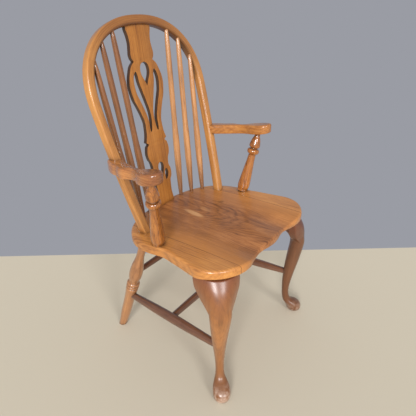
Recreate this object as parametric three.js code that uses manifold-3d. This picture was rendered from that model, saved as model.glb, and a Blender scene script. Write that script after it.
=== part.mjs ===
import * as THREE from "three";
import { mergeVertices } from "three/addons/utils/BufferGeometryUtils.js";
import Module from "manifold-3d";

const wasm = await Module();
wasm.setup();

// A bow-backed wooden armchair. Millimetres, +Z up, the sitter faces -Y.
// Pieces are built on the sitter's left (+X), with that side's sizes where the two differ, and
// mirrored for the right.

// Fits
const fit_gap = 0.3;
const weld = 0.0005;

// Seat
const seat_top = 440;
const seat_thickness = 33;
const seat_half_width = 252;
const seat_half_depth = 223;
const seat_arris = 8;
const seat_under_arris = 3;
const seat_front_under_arris = 10;
const seat_side_board_width = 74;
const seat_rear_fall = 13;
const seat_rim_fall = 5;
const seat_dish_depth = 9;
const seat_thigh_depth = 15;
const seat_pommel_depth = 4;

// Back bow
const bow_rear_inset = 123.7;
const bow_rake = THREE.MathUtils.degToRad(16.36);
const bow_foot_sink = 7;
const bow_foot_inset = 52.8;
const bow_flare = 36.4;
const bow_wide_rise = 374.3;
const bow_rise = 586;
const bow_width = 26;
const bow_depth = 25;
const bow_round = 4.5;
const bow_inner_round = 9;
const bow_tenon_radius = 8.5;
const bow_tenon_cover = 15;
const bow_crown_power = 2.25;
const bow_limb_power = 1.36;

// Splat
const splat_rear_inset = 30.6;
const splat_head_back = 9;
const splat_foot_sink = 3;
const splat_head_clearance = 2.7;
const splat_width_share = 0.2778;
const splat_thickness = 13;
const splat_arris = 0.8;
const splat_tongue_cover = 15;
const splat_bow_tongue = 9;
const splat_foot_share = 0.507;
const splat_head_share = 0.693;

// Back spindles
const spindle_swell_radius = 11;
const spindle_swell_length = 260;
const spindle_taper_length = 100;
const spindle_tenon_cover = 20;
const spindle_bow_tenon = 7;
const spindle_hole_back = 9;

// Arms
const arm_hand_rise = 230;
const arm_fall = 17.5;
const arm_hand_reach = 99.3;
const arm_rear_reach = 160;
const arm_thickness = 30;
const arm_round = 8;
const arm_under_round = 3;
const arm_width = 68;
const arm_length = 245.6;
const arm_left_hand_extra = 12;
const arm_right_hand_extra = 1;
const arm_lip_start = 165;
const arm_lip_run = 22;

// Arm posts
const post_foot_inset = 34.7;
const post_foot_setback = 26.6;
const post_foot_sink = 3;
const post_head_out = 41.9;
const post_head_advance = 2.5;
const post_head_clearance = 1;
const post_shoulder_drop = 2.2;
const post_bulb_radius = 20.8;
const post_tenon_cover = 13;
const post_arm_tenon = 15;
const post_tenon_radius = 8.5;

// Arm screws
const screw_edge_distance = 7.2;
const screw_rise = 196;
const screw_length = 46;
const screw_shank_radius = 2.1;
const screw_tip_radius = 0.7;
const screw_head_radius = 4.2;
const screw_head_height = 3;
const screw_sink = 1;

// Front legs
const leg_side_inset = 15.5;
const leg_front_inset = 18.2;
const leg_tenon_radius = 11;
const leg_tenon_cover = 13;
const leg_reach = 60;
const leg_half_width = 32;
const leg_lean = 4;

// Knee blocks
const block_thickness = 27;
const stock_inset = 46;

// Rear legs
const rear_head_side_inset = 83.4;
const rear_head_rear_inset = 95.5;
const rear_splay = 31.4;
const rear_rake = 129.6;
const rear_foot_sawn = 6;
const rear_bulb_radius = 21.8;
const rear_tenon_radius = 11;
const rear_tenon_cover = 19;

// Stretchers
const side_stretcher_front_z = 169.7;
const side_stretcher_rear_z = 148;
const side_stretcher_inset = 22.3;
const side_stretcher_radius = 15;
const side_stretcher_end_radius = 10.2;
const middle_stretcher_radius = 12.2;
const middle_stretcher_end_radius = 9.5;
const middle_stretcher_tenon = 10;
const rear_stretcher_z = 247;
const rear_stretcher_radius = 11;
const rear_stretcher_end_radius = 8.6;

// Facets round each kind of piece
const turned_sides = 16;
const spindle_sides = 10;
const stretcher_sides = 14;
const screw_sides = 10;
const leg_sides = 20;
const seat_outline_points = 80;
const arm_outline_points = 48;

// Lengths that follow from those above
const seat_glue_line = seat_half_width - seat_side_board_width;
const bow_front_y = seat_half_depth - bow_rear_inset;
const bow_base_half = seat_half_width - bow_foot_inset;
const bow_wide_half = bow_base_half + bow_flare;
const screw_up_bow = screw_rise / Math.cos(bow_rake);
const screw_x = bow_outer(screw_up_bow) - screw_edge_distance;
const splat_foot_y = seat_half_depth - splat_rear_inset;
const splat_foot_z = seat_top - splat_foot_sink;
const splat_half_width = seat_half_width * splat_width_share;
const splat_foot_half = splat_half_width * splat_foot_share;
const splat_head_half = splat_half_width * splat_head_share;
const arm_widest_y = bow_front_y - arm_hand_reach;
const arm_hand_top = seat_top + arm_hand_rise;
const leg_top = seat_top - seat_thickness - fit_gap;
const leg_foot_x = seat_half_width - leg_side_inset;
const leg_foot_y = leg_front_inset - seat_half_depth;

const post_foot = {
  x: seat_half_width - post_foot_inset,
  y: arm_widest_y + post_foot_setback,
  z: seat_top - post_foot_sink,
};
const post_head = {
  x: screw_x + post_head_out,
  y: arm_widest_y - post_head_advance,
  z: arm_hand_top - arm_thickness - post_head_clearance,
};
const rear_head = {
  x: seat_half_width - rear_head_side_inset,
  y: seat_half_depth - rear_head_rear_inset,
  z: leg_top,
};
const rear_foot = { x: rear_head.x + rear_splay, y: rear_head.y + rear_rake, z: 0 };

// Blind tenons in the seat, each leaving some cover beyond its end
const bow_tenon_length = seat_thickness - bow_tenon_cover;
const splat_seat_tongue = seat_thickness - splat_tongue_cover;
const spindle_seat_tenon = seat_thickness - spindle_tenon_cover;
const post_seat_tenon = seat_thickness - post_tenon_cover;
const leg_tenon_length = seat_thickness - leg_tenon_cover;
const rear_tenon_length = seat_thickness - rear_tenon_cover;

// Solid tools

function body_of(positions, triangles) {
  let volume = 0;
  const corner = (i) => new THREE.Vector3().fromArray(positions, 3 * i);
  for (let i = 0; i < triangles.length; i += 3) {
    const [a, b, c] = [corner(triangles[i]), corner(triangles[i + 1]), corner(triangles[i + 2])];
    volume += a.dot(b.cross(c));
  }
  const outward = volume < 0 ? triangles.slice().reverse() : triangles;
  const mesh = new wasm.Mesh({
    numProp: 3,
    vertProperties: Float32Array.from(positions),
    triVerts: Uint32Array.from(outward),
  });
  return new wasm.Manifold(mesh);
}

function body_from(geometry) {
  const plain = geometry.clone();
  plain.deleteAttribute("normal");
  plain.deleteAttribute("uv");
  const merged = mergeVertices(plain, weld);
  const kept = [];
  const index = merged.index.array;
  for (let i = 0; i < index.length; i += 3) {
    const [a, b, c] = [index[i], index[i + 1], index[i + 2]];
    if (a !== b && b !== c && c !== a) kept.push(a, b, c);
  }
  return body_of(Array.from(merged.attributes.position.array), kept);
}

// A closed body through matching rings, capped flat at its first and last ring.
function loft(rings) {
  const count = rings[0].length;
  const positions = rings.flat().flat();
  const triangles = [];
  for (let r = 0; r + 1 < rings.length; r++) {
    for (let i = 0; i < count; i++) {
      const next = (i + 1) % count;
      const [a, b] = [r * count + i, r * count + next];
      triangles.push(a, b, b + count, a, b + count, a + count);
    }
  }
  const cap = (ring, start, up) => {
    const flat = ring.map(([x, y]) => new THREE.Vector2(x, y));
    for (const [a, b, c] of THREE.ShapeUtils.triangulateShape(flat, [])) {
      const area = flat[b].clone().sub(flat[a]).cross(flat[c].clone().sub(flat[a]));
      const face = area > 0 === up ? [a, b, c] : [a, c, b];
      triangles.push(...face.map((i) => start + i));
    }
  };
  const first = rings[0].map(([x, y]) => new THREE.Vector2(x, y));
  const turns_left = THREE.ShapeUtils.area(first) > 0;
  cap(rings[0], 0, !turns_left);
  const last = rings[rings.length - 1].map(([x, y]) => new THREE.Vector2(x, y));
  const last_left = THREE.ShapeUtils.area(last) > 0;
  cap(rings[rings.length - 1], (rings.length - 1) * count, last_left);
  return body_of(positions, triangles);
}

// A turned piece from one point to another. Profile rows are [distance, radius].
function turned(from, to, profile, sides, grow) {
  const start = new THREE.Vector3(from.x, from.y, from.z);
  const along = new THREE.Vector3(to.x, to.y, to.z).sub(start).normalize();
  const points = profile.map(([d, r]) => new THREE.Vector2(r + grow, d));
  points[0].y -= grow;
  points[points.length - 1].y += grow;
  points.unshift(new THREE.Vector2(0, points[0].y));
  points.push(new THREE.Vector2(0, points[points.length - 1].y));
  const lathe = new THREE.LatheGeometry(points, sides);
  const turn = new THREE.Quaternion().setFromUnitVectors(new THREE.Vector3(0, 1, 0), along);
  lathe.applyQuaternion(turn);
  lathe.translate(start.x, start.y, start.z);
  return body_from(lathe);
}

function distance(a, b) {
  return Math.hypot(a.x - b.x, a.y - b.y, a.z - b.z);
}

function box(x0, x1, y0, y1, z0, z1) {
  const geometry = new THREE.BoxGeometry(x1 - x0, y1 - y0, z1 - z0);
  geometry.translate((x0 + x1) / 2, (y0 + y1) / 2, (z0 + z1) / 2);
  return body_from(geometry);
}

function mirrored(body) {
  return body.mirror([1, 0, 0]);
}

function both_sides(body) {
  return body.add(mirrored(body));
}

function ease(t) {
  const u = THREE.MathUtils.clamp(t, 0, 1);
  return u * u * (3 - 2 * u);
}

// Rounded edges are cut in facets. Shares of the edge's size, inwards and then down.
const facet_shares = [[0.13, 0.5], [0.5, 0.13]];

// Seat outline, half plan, as shares of half width and half depth, front to rear.
const seat_outline_shares = [
  [0, -0.985], [0.1, -0.975], [0.2, -0.952], [0.3, -0.948], [0.425, -0.972], [0.556, -1.004],
  [0.7, -0.986], [0.8, -0.935], [0.89, -0.866], [0.972, -0.75], [1.006, -0.615],
  [1, -0.516], [0.983, -0.404], [0.952, -0.193], [0.932, -0.018], [0.945, 0.105],
  [0.963, 0.24], [0.958, 0.36], [0.932, 0.48], [0.85, 0.63], [0.715, 0.775], [0.53, 0.875],
  [0.27, 0.94], [0, 0.955],
];

function seat_outline() {
  const left = seat_outline_shares.map(
    ([u, v]) => new THREE.Vector3(u * seat_half_width, v * seat_half_depth, 0),
  );
  const right = left.slice(1, -1).reverse().map((p) => new THREE.Vector3(-p.x, p.y, 0));
  const curve = new THREE.CatmullRomCurve3([...left, ...right], true, "centripetal");
  return curve.getSpacedPoints(seat_outline_points).slice(0, seat_outline_points);
}

// Where the hollows of the seat lie, as shares of its half width and half depth.
const fall_start_share = -0.15;
const rim_shares = { side: 0.8, start: -0.1, run: 0.3 };
const dish_shares = { middle: 0.05, width: 0.6, depth: 0.5 };
const thigh_shares = { start: 0.25, run: 0.68, middle: 0.34, width: 0.2 };
const pommel_width_share = 0.16;
const crown_shares = [1, 0.9, 0.78, 0.64, 0.48, 0.3, 0.12];
const undercut_shares = { start: 0.55, run: 0.25 };

function seat_height(x, y) {
  const u = Math.abs(x) / seat_half_width;
  const v = y / seat_half_depth;
  const rear = seat_rear_fall * ease(v - fall_start_share);
  const side = ease((u - rim_shares.side) / (1 - rim_shares.side));
  const rim = seat_rim_fall * side * ease((v - rim_shares.start) / rim_shares.run);
  const across = u / dish_shares.width;
  const along = (v - dish_shares.middle) / dish_shares.depth;
  const dish = seat_dish_depth * Math.exp(-(across ** 2) - along ** 2);
  const front = ease((-v - thigh_shares.start) / thigh_shares.run);
  const from_thigh = (u - thigh_shares.middle) / thigh_shares.width;
  const thigh = seat_thigh_depth * front * Math.exp(-(from_thigh ** 2));
  const pommel = seat_pommel_depth * front * Math.exp(-((u / pommel_width_share) ** 2));
  return seat_top - rear - rim - dish - thigh - pommel;
}

// The underside is shaved back further along the front edge.
function seat_undercut(y) {
  const v = -y / seat_half_depth;
  const front = ease((v - undercut_shares.start) / undercut_shares.run);
  return THREE.MathUtils.lerp(seat_under_arris, seat_front_under_arris, front);
}

function seat_blank() {
  const outline = seat_outline();
  const bottom = seat_top - seat_thickness;
  const ring = (share, inset, level) =>
    outline.map((p) => {
      const k = share * (1 - inset(p.y) / Math.hypot(p.x, p.y));
      const [x, y] = [p.x * k, p.y * k];
      return [x, y, level(x, y, p.y)];
    });
  const arris = (inset, drop) => ring(1, () => inset, (x, y) => seat_height(x, y) - drop);
  return loft([
    ring(1, seat_undercut, () => bottom),
    ring(1, () => 0, (x, y, edge) => bottom + seat_undercut(edge)),
    arris(0, seat_arris),
    ...facet_shares.map(([inward, down]) => arris(seat_arris * inward, seat_arris * down)),
    ...crown_shares.map((share) => ring(share, () => seat_arris, seat_height)),
  ]);
}

// Bow, built in its own raked plane: x across, h up the plane, back through the thickness.
function bow_point(x, h, back) {
  return [
    x,
    bow_front_y + h * Math.sin(bow_rake) + back * Math.cos(bow_rake),
    seat_top + h * Math.cos(bow_rake) - back * Math.sin(bow_rake),
  ];
}

function bow_outer(h) {
  const fall = (bow_wide_rise - h) / bow_wide_rise;
  return bow_wide_half - (bow_wide_half - bow_base_half) * fall ** bow_limb_power;
}

// The bow's outer edge over the crown, from the widest place (0) to the top (1).
function bow_crown(share) {
  const a = (Math.PI / 2) * share;
  const power = 2 / bow_crown_power;
  return [
    bow_wide_half * Math.cos(a) ** power,
    bow_wide_rise + (bow_rise - bow_wide_rise) * Math.sin(a) ** power,
  ];
}

function bow_path() {
  const foot = -bow_foot_sink / Math.cos(bow_rake);
  const limb_steps = 8;
  const crown_steps = 14;
  const half = [];
  for (let i = 0; i < limb_steps; i++) {
    const h = foot + ((bow_wide_rise - foot) * i) / limb_steps;
    half.push([bow_outer(h), h]);
  }
  for (let i = 0; i <= crown_steps; i++) half.push(bow_crown(i / crown_steps));
  half[half.length - 1][0] = 0;
  return [...half, ...half.slice(0, -1).reverse().map(([x, h]) => [-x, h])];
}

function bow(grow) {
  const path = bow_path();
  const eighth = Math.PI / 4;
  const section = [];
  const [w, d] = [bow_width / 2 + grow, bow_depth / 2 + grow];
  for (const [sx, sy, turn] of [[1, 1, 0], [-1, 1, 2], [-1, -1, 4], [1, -1, 6]]) {
    const r = sx < 0 && sy < 0 ? bow_inner_round : bow_round;
    for (let k = 0; k < 3; k++) {
      const a = (turn + k) * eighth;
      section.push([sx * (w - r) + r * Math.cos(a), sy * (d - r) + r * Math.sin(a)]);
    }
  }
  const peg = section.map(([u, v]) => {
    const a = Math.atan2(v, u);
    return [(bow_tenon_radius + grow) * Math.cos(a), (bow_tenon_radius + grow) * Math.sin(a)];
  });
  const frames = path.map(([x, h], i) => {
    const before = path[Math.max(i - 1, 0)];
    const after = path[Math.min(i + 1, path.length - 1)];
    const run = Math.hypot(after[0] - before[0], after[1] - before[1]);
    const tangent = [(after[0] - before[0]) / run, (after[1] - before[1]) / run];
    return { x, h, tangent, normal: [tangent[1], -tangent[0]] };
  });
  const ring = (frame, outline, slide) =>
    outline.map(([u, v]) => {
      const across = u - bow_width / 2;
      return bow_point(
        frame.x + frame.normal[0] * across + frame.tangent[0] * slide,
        frame.h + frame.normal[1] * across + frame.tangent[1] * slide,
        bow_depth / 2 + v,
      );
    });
  const [first, last] = [frames[0], frames[frames.length - 1]];
  const sink = bow_tenon_length + grow;
  return loft([
    ring(first, peg, -sink),
    ring(first, peg, -grow),
    ring(first, section, -grow),
    ...frames.slice(1, -1).map((frame) => ring(frame, section, 0)),
    ring(last, section, grow),
    ring(last, peg, grow),
    ring(last, peg, sink),
  ]);
}

// The splat leans from the seat to the underside of the bow's crown.
const [, crown_y, crown_z] = bow_point(0, bow_rise - bow_width, splat_head_back);
const splat_rake = Math.atan2(crown_y - splat_foot_y, crown_z - splat_foot_z);
const splat_reach = Math.hypot(crown_y - splat_foot_y, crown_z - splat_foot_z);
const splat_height = splat_reach - splat_head_clearance;

// Splat edge from foot to head, right half, as shares of half width and height.
const splat_edge_shares = [
  [0.507, 0.004], [0.46, 0.04], [0.457, 0.062], [0.477, 0.096], [0.5, 0.12], [0.585, 0.138],
  [0.62, 0.163], [0.597, 0.192], [0.525, 0.213], [0.53, 0.243], [0.565, 0.262],
  [0.65, 0.282], [0.7, 0.315], [0.672, 0.34], [0.63, 0.357], [0.515, 0.37],
];
const splat_waist_shares = [
  [0.645, 0.384], [0.6, 0.4], [0.54, 0.43], [0.51, 0.475], [0.51, 0.494], [0.59, 0.534],
  [0.757, 0.589], [0.9, 0.63], [0.985, 0.68], [1, 0.705], [0.96, 0.74], [0.857, 0.775],
  [0.74, 0.805], [0.557, 0.826],
];
const splat_neck_shares = [
  [0.64, 0.842], [0.665, 0.862], [0.635, 0.885], [0.6, 0.916], [0.62, 0.95], [0.693, 0.985],
];
const splat_slot_shares = [
  [0.54, 0.775], [0.65, 0.762], [0.73, 0.725], [0.69, 0.665], [0.596, 0.632], [0.457, 0.588],
  [0.303, 0.528], [0.264, 0.5], [0.268, 0.466], [0.235, 0.438], [0.185, 0.442],
  [0.1, 0.488], [0.104, 0.55], [0.229, 0.616], [0.35, 0.67], [0.45, 0.718], [0.485, 0.757],
];
const splat_drop_shares = [
  [0, 0.694], [0.1, 0.722], [0.225, 0.752], [0.262, 0.78], [0.19, 0.808], [0, 0.82],
];
const splat_centre_leaf_shares = [
  [0, 0.142], [0.1, 0.178], [0.178, 0.216], [0.12, 0.24], [0, 0.248],
];
const splat_side_leaf_shares = [
  [0.232, 0.128], [0.345, 0.142], [0.408, 0.165], [0.37, 0.188], [0.3, 0.196],
  [0.222, 0.185], [0.196, 0.16],
];

function splat_points(shares, side) {
  return shares.map(([u, v]) => new THREE.Vector2(side * u * splat_half_width, v * splat_height));
}

function smooth(points, count) {
  return new THREE.SplineCurve(points).getPoints(count);
}

function closed_loop(points, count) {
  const curve = new THREE.CatmullRomCurve3(
    points.map((p) => new THREE.Vector3(p.x, p.y, 0)), true, "centripetal",
  );
  return curve.getPoints(count).slice(0, count).map((p) => new THREE.Vector2(p.x, p.y));
}

function splat_placed(body_geometry) {
  const turn = new THREE.Matrix4().makeBasis(
    new THREE.Vector3(1, 0, 0),
    new THREE.Vector3(0, Math.sin(splat_rake), Math.cos(splat_rake)),
    new THREE.Vector3(0, -Math.cos(splat_rake), Math.sin(splat_rake)),
  );
  body_geometry.applyMatrix4(turn);
  body_geometry.translate(0, splat_foot_y, splat_foot_z);
  return body_from(body_geometry);
}

function splat() {
  const side_points = (side) => [
    new THREE.Vector2(side * splat_foot_half, -splat_seat_tongue),
    ...smooth(splat_points(splat_edge_shares, side), 24),
    ...smooth(splat_points(splat_waist_shares, side), 22),
    ...smooth(splat_points(splat_neck_shares, side), 8),
    new THREE.Vector2(side * splat_head_half, splat_height + splat_bow_tongue),
  ];
  const shape = new THREE.Shape([...side_points(1), ...side_points(-1).reverse()]);
  const hole = (points) => shape.holes.push(new THREE.Path(points));
  for (const side of [1, -1]) {
    hole(closed_loop(splat_points(splat_slot_shares, side), 30));
    hole(closed_loop(splat_points(splat_side_leaf_shares, side), 12));
  }
  for (const [shares, count] of [[splat_drop_shares, 9], [splat_centre_leaf_shares, 8]]) {
    const left = smooth(splat_points(shares, -1), count);
    hole([...smooth(splat_points(shares, 1), count), ...left.slice(1, -1).reverse()]);
  }
  const board = new THREE.ExtrudeGeometry(shape, {
    depth: splat_thickness - 2 * splat_arris,
    bevelThickness: splat_arris,
    bevelSize: splat_arris,
    bevelOffset: -splat_arris,
    bevelSegments: 1,
    curveSegments: 1,
  });
  board.translate(0, 0, splat_arris - splat_thickness);
  return splat_placed(board);
}

function splat_slot(half, low, high) {
  const slot = new THREE.BoxGeometry(
    2 * (half + fit_gap), high - low + 2 * fit_gap, splat_thickness + 2 * fit_gap,
  );
  slot.translate(0, (low + high) / 2, -splat_thickness / 2);
  return splat_placed(slot);
}

// Spindles swell below the middle. The first rows are measured up from the seat as shares of
// the swell, the others down from the bow as shares of the taper; both give radius shares.
const spindle_swell_shares = [
  [0, 0.56], [0.12, 0.73], [0.23, 0.82], [0.34, 0.92], [0.44, 0.99], [0.58, 1], [0.7, 0.99],
  [0.8, 0.95], [0.89, 0.86], [1, 0.81],
];
const spindle_taper_shares = [[1, 0.79], [0.65, 0.75], [0.35, 0.7], [0.12, 0.62], [0, 0.52]];

// Places of the inner, middle and outer spindles: in the seat as shares of its half width and
// half depth, and over the crown of the bow. The holes in the bow were bored a little towards
// the sitter's left, so the two sides differ there.
const spindle_seat_shares = [[0.306, 0.874], [0.479, 0.817], [0.6345, 0.73]];
const spindle_crown_shares = { left: [0.67, 0.49, 0.245], right: [0.724, 0.548, 0.318] };
const share_step = 0.001;

function spindle(i, side, grow) {
  const [u, v] = spindle_seat_shares[i];
  const seat_hole = { x: u * seat_half_width, y: v * seat_half_depth };
  seat_hole.z = seat_height(seat_hole.x, seat_hole.y);
  const crown_share = spindle_crown_shares[side][i];
  const [x, h] = bow_crown(crown_share);
  const [x_next, h_next] = bow_crown(crown_share + share_step);
  const run = Math.hypot(x_next - x, h_next - h);
  const inward = [(h - h_next) / run, (x_next - x) / run];
  const hole = bow_point(x + inward[0] * bow_width, h + inward[1] * bow_width, spindle_hole_back);
  const bow_hole = { x: hole[0], y: hole[1], z: hole[2] };
  const span = distance(seat_hole, bow_hole);
  const axis = new THREE.Vector3(
    bow_hole.x - seat_hole.x, bow_hole.y - seat_hole.y, bow_hole.z - seat_hole.z,
  ).normalize();
  const tip = {
    x: seat_hole.x - axis.x * spindle_seat_tenon,
    y: seat_hole.y - axis.y * spindle_seat_tenon,
    z: seat_hole.z - axis.z * spindle_seat_tenon,
  };
  const swell = spindle_swell_shares.map(([s, k]) => [
    spindle_seat_tenon + s * spindle_swell_length, k * spindle_swell_radius,
  ]);
  const taper = spindle_taper_shares.map(([s, k]) => [
    spindle_seat_tenon + span - s * spindle_taper_length, k * spindle_swell_radius,
  ]);
  const end = spindle_seat_tenon + span + spindle_bow_tenon;
  const [foot_radius, head_radius] = [swell[0][1], taper[taper.length - 1][1]];
  const profile = [[0, foot_radius], ...swell, ...taper, [end, head_radius]];
  return turned(tip, bow_hole, profile, spindle_sides, grow);
}

function both_spindles(i, grow) {
  return spindle(i, "left", grow).add(mirrored(spindle(i, "right", grow)));
}

// Arm plan, sitter's left: round hand, waist, elbow, lip. Shares of the arm's width outward
// from the screw, and of its length back from the widest place of the hand.
const arm_outline_shares = [
  [0.612, -0.141], [0.795, -0.131], [0.942, -0.08], [1, 0], [0.958, 0.061], [0.866, 0.123],
  [0.72, 0.183], [0.632, 0.244], [0.645, 0.312], [0.708, 0.382], [0.666, 0.451],
  [0.553, 0.513], [0.507, 0.59], [0.405, 0.668], [0.283, 0.731], [0.173, 0.77],
  [0.06, 0.766], [-0.086, 0.722], [-0.22, 0.68], [-0.169, 0.62], [-0.078, 0.556],
  [0.031, 0.486], [0.152, 0.393], [0.282, 0.289], [0.336, 0.208], [0.323, 0.127],
  [0.248, 0.058], [0.219, -0.012], [0.273, -0.08], [0.424, -0.127],
];
const arm_sag_share = 0.45;
const arm_lip_thin_share = 0.4;
const hand_shares = { start: 0.1, run: 0.16 };

function arm_top(y) {
  const t = (y - arm_widest_y) / arm_rear_reach;
  return arm_hand_top - arm_fall * ((1 + arm_sag_share) * t - arm_sag_share * t * t);
}

// The hands were shaped by eye, and each is drawn out by its own extra length.
function arm_blank(hand_extra) {
  const curve = new THREE.CatmullRomCurve3(
    arm_outline_shares.map(([u, v]) => {
      const drawn = hand_extra * ease((hand_shares.start - v) / hand_shares.run);
      return new THREE.Vector3(
        screw_x + u * arm_width, arm_widest_y + v * arm_length - drawn, 0,
      );
    }),
    true, "centripetal",
  );
  const count = arm_outline_points;
  const outline = curve.getSpacedPoints(count).slice(0, count);
  const ring = (inset, drop) =>
    outline.map((p, i) => {
      const before = outline[(i + count - 1) % count];
      const after = outline[(i + 1) % count];
      const run = Math.hypot(after.x - before.x, after.y - before.y);
      const [nx, ny] = [(after.y - before.y) / run, (before.x - after.x) / run];
      const lip = ease((p.y - arm_widest_y - arm_lip_start) / arm_lip_run);
      const thin = THREE.MathUtils.lerp(1, arm_lip_thin_share, lip);
      const [x, y] = [p.x - nx * inset * thin, p.y - ny * inset * thin];
      return [x, y, arm_top(y) - drop];
    });
  return loft([
    ring(arm_under_round, arm_thickness),
    ring(0, arm_thickness - arm_under_round),
    ring(0, arm_round),
    ...facet_shares.map(([inward, down]) => ring(arm_round * inward, arm_round * down)),
    ring(arm_round, 0),
  ]);
}

// Arm post turning, as shares of post length and of the bulb radius.
const post_profile_shares = [
  [0, 0.86], [0.03, 0.88], [0.085, 1], [0.165, 0.98], [0.25, 0.915], [0.425, 0.76],
  [0.52, 0.67], [0.61, 0.62], [0.655, 0.63], [0.67, 0.84], [0.69, 0.97], [0.722, 0.98],
  [0.745, 0.84], [0.755, 0.62], [0.767, 0.62], [0.778, 0.81], [0.8, 0.89], [0.87, 0.78],
  [0.93, 0.6], [0.96, 0.46],
];

function arm_post(grow) {
  const post_length = distance(post_foot, post_head) - post_shoulder_drop;
  const along = new THREE.Vector3(
    post_head.x - post_foot.x, post_head.y - post_foot.y, post_head.z - post_foot.z,
  ).normalize();
  const low = {
    x: post_foot.x - along.x * post_seat_tenon,
    y: post_foot.y - along.y * post_seat_tenon,
    z: post_foot.z - along.z * post_seat_tenon,
  };
  const rows = post_profile_shares.map(([s, k]) => [
    post_seat_tenon + s * post_length, k * post_bulb_radius,
  ]);
  const end = post_seat_tenon + post_length + post_arm_tenon;
  const profile = [
    [0, post_tenon_radius],
    [post_seat_tenon, post_tenon_radius],
    ...rows,
    [end, post_tenon_radius],
  ];
  return turned(low, post_head, profile, turned_sides, grow);
}

// A wood screw driven forward through the limb of the bow into the arm.
function arm_screw(grow) {
  const [x, y, z] = bow_point(screw_x, screw_up_bow, bow_depth - screw_sink);
  const along = { x, y: y - Math.cos(bow_rake), z: z + Math.sin(bow_rake) };
  const profile = [
    [0, screw_head_radius],
    [screw_head_height, screw_shank_radius],
    [screw_length - 2 * screw_head_height, screw_shank_radius],
    [screw_length, screw_tip_radius],
  ];
  return turned({ x, y, z }, along, profile, screw_sides, grow);
}

// Front leg along its outward diagonal. Rows run from the floor up: height as a share of the
// underside of the seat, then outer face, inner face and half width as shares.
const leg_rows_shares = [
  [0, 0.37, -0.3, 0.62], [0.012, 0.44, -0.38, 0.76], [0.04, 0.455, -0.46, 0.81],
  [0.07, 0.37, -0.55, 0.8], [0.097, 0.1, -0.66, 0.67], [0.12, -0.18, -0.73, 0.52],
  [0.145, -0.32, -0.77, 0.43], [0.19, -0.41, -0.82, 0.39], [0.25, -0.43, -0.845, 0.41],
  [0.32, -0.365, -0.86, 0.47], [0.4, -0.255, -0.84, 0.56], [0.48, -0.12, -0.79, 0.655],
  [0.56, 0.005, -0.725, 0.74], [0.63, 0.095, -0.655, 0.82], [0.69, 0.16, -0.59, 0.89],
  [0.745, 0.19, -0.565, 0.95], [0.8, 0.12, -0.6, 0.96], [0.86, -0.03, -0.7, 0.9],
  [0.93, -0.23, -0.9, 0.8], [1, -0.4, -1.07, 0.72],
];

const leg_lean_shares = { start: 0.2, run: 0.4 };
const leg_square_start_share = 0.8;
const leg_round_power = 2.1;
const leg_square_power = 1.4;

// Point of the plan from distances along and across the leg's outward diagonal. The upper leg
// leans a little towards the rear.
function diagonal_point(along, across, z) {
  const turn = Math.SQRT1_2;
  const leaning = ease((z / leg_top - leg_lean_shares.start) / leg_lean_shares.run);
  const aside = across + leg_lean * leaning;
  return [leg_foot_x + turn * (along + aside), leg_foot_y - turn * (along - aside), z];
}

function leg_core() {
  const ring = (centre, half_depth, half_width, power, z) => {
    const points = [];
    for (let i = 0; i < leg_sides; i++) {
      const a = (2 * Math.PI * i) / leg_sides;
      const [c, s] = [Math.cos(a), Math.sin(a)];
      const along = centre + half_depth * Math.sign(c) * Math.abs(c) ** (2 / power);
      const across = half_width * Math.sign(s) * Math.abs(s) ** (2 / power);
      points.push(diagonal_point(along, across, z));
    }
    return points;
  };
  const rings = leg_rows_shares.map(([t, outer, inner, half]) => {
    const centre = ((outer + inner) / 2) * leg_reach;
    const half_depth = ((outer - inner) / 2) * leg_reach;
    const squaring = ease((t - leg_square_start_share) / (1 - leg_square_start_share));
    const power = THREE.MathUtils.lerp(leg_round_power, leg_square_power, squaring);
    return ring(centre, half_depth, half * leg_half_width, power, t * leg_top);
  });
  return loft(rings);
}

function leg_peg(grow) {
  const [, outer, inner] = leg_rows_shares[leg_rows_shares.length - 1];
  const [x, y] = diagonal_point(((outer + inner) / 2) * leg_reach, 0, leg_top);
  const radius = leg_tenon_radius;
  const profile = [[0, radius], [2 * leg_tenon_length, radius]];
  const low = { x, y, z: leg_top - leg_tenon_length };
  return turned(low, { x, y, z: leg_top }, profile, leg_sides, grow);
}

// The knee and its two blocks are one shaped band that follows the corner of the seat. Rows
// from the knee up: height share, outer face at the corner, half span, set-back of the ends.
const knee_rows_shares = [
  [0.735, 0.13, 0.47, 0.34], [0.77, 0.17, 0.58, 0.47], [0.8, 0.16, 0.69, 0.63],
  [0.83, 0.14, 0.8, 0.76], [0.86, 0.105, 0.89, 0.85], [0.885, 0.06, 0.955, 0.87],
  [0.91, 0, 1.005, 0.85], [0.94, -0.1, 1.035, 0.79], [0.97, -0.23, 1.05, 0.7],
  [1, -0.36, 1.04, 0.59],
];
const knee_uneven_shares = { most: 0.06, start: 0.77, run: 0.15 };
const knee_round_power = 2.2;

function knee_band() {
  const rings = knee_rows_shares.map(([t, outer, half, back]) => {
    const steps = 14;
    const rise = ease((t - knee_uneven_shares.start) / knee_uneven_shares.run);
    const uneven = knee_uneven_shares.most * rise;
    const front = [];
    for (let i = 0; i <= steps; i++) {
      const u = ((2 * i) / steps - 1) * (1 + uneven * Math.sign(2 * i - steps));
      const along = (outer - back * Math.abs(u) ** knee_round_power) * leg_reach;
      front.push(new THREE.Vector2(along, u * half * leg_reach));
    }
    const rear = front.map((p, i) => {
      const u = (2 * i) / steps - 1;
      const lean = (Math.PI / 4) * u;
      const [inward, sideways] = [Math.cos(lean), Math.sin(lean)];
      return new THREE.Vector2(p.x - inward * block_thickness, p.y - sideways * block_thickness);
    });
    const z = t * leg_top;
    return [...front, ...rear.reverse()].map((p) => diagonal_point(p.x, p.y, z));
  });
  return loft(rings);
}

// The leg is sawn from square stock; the blocks are glued to its two inner faces.
const stock_x = leg_foot_x - stock_inset;
const stock_y = leg_foot_y + stock_inset;
const past = 2 * leg_reach;

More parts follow.
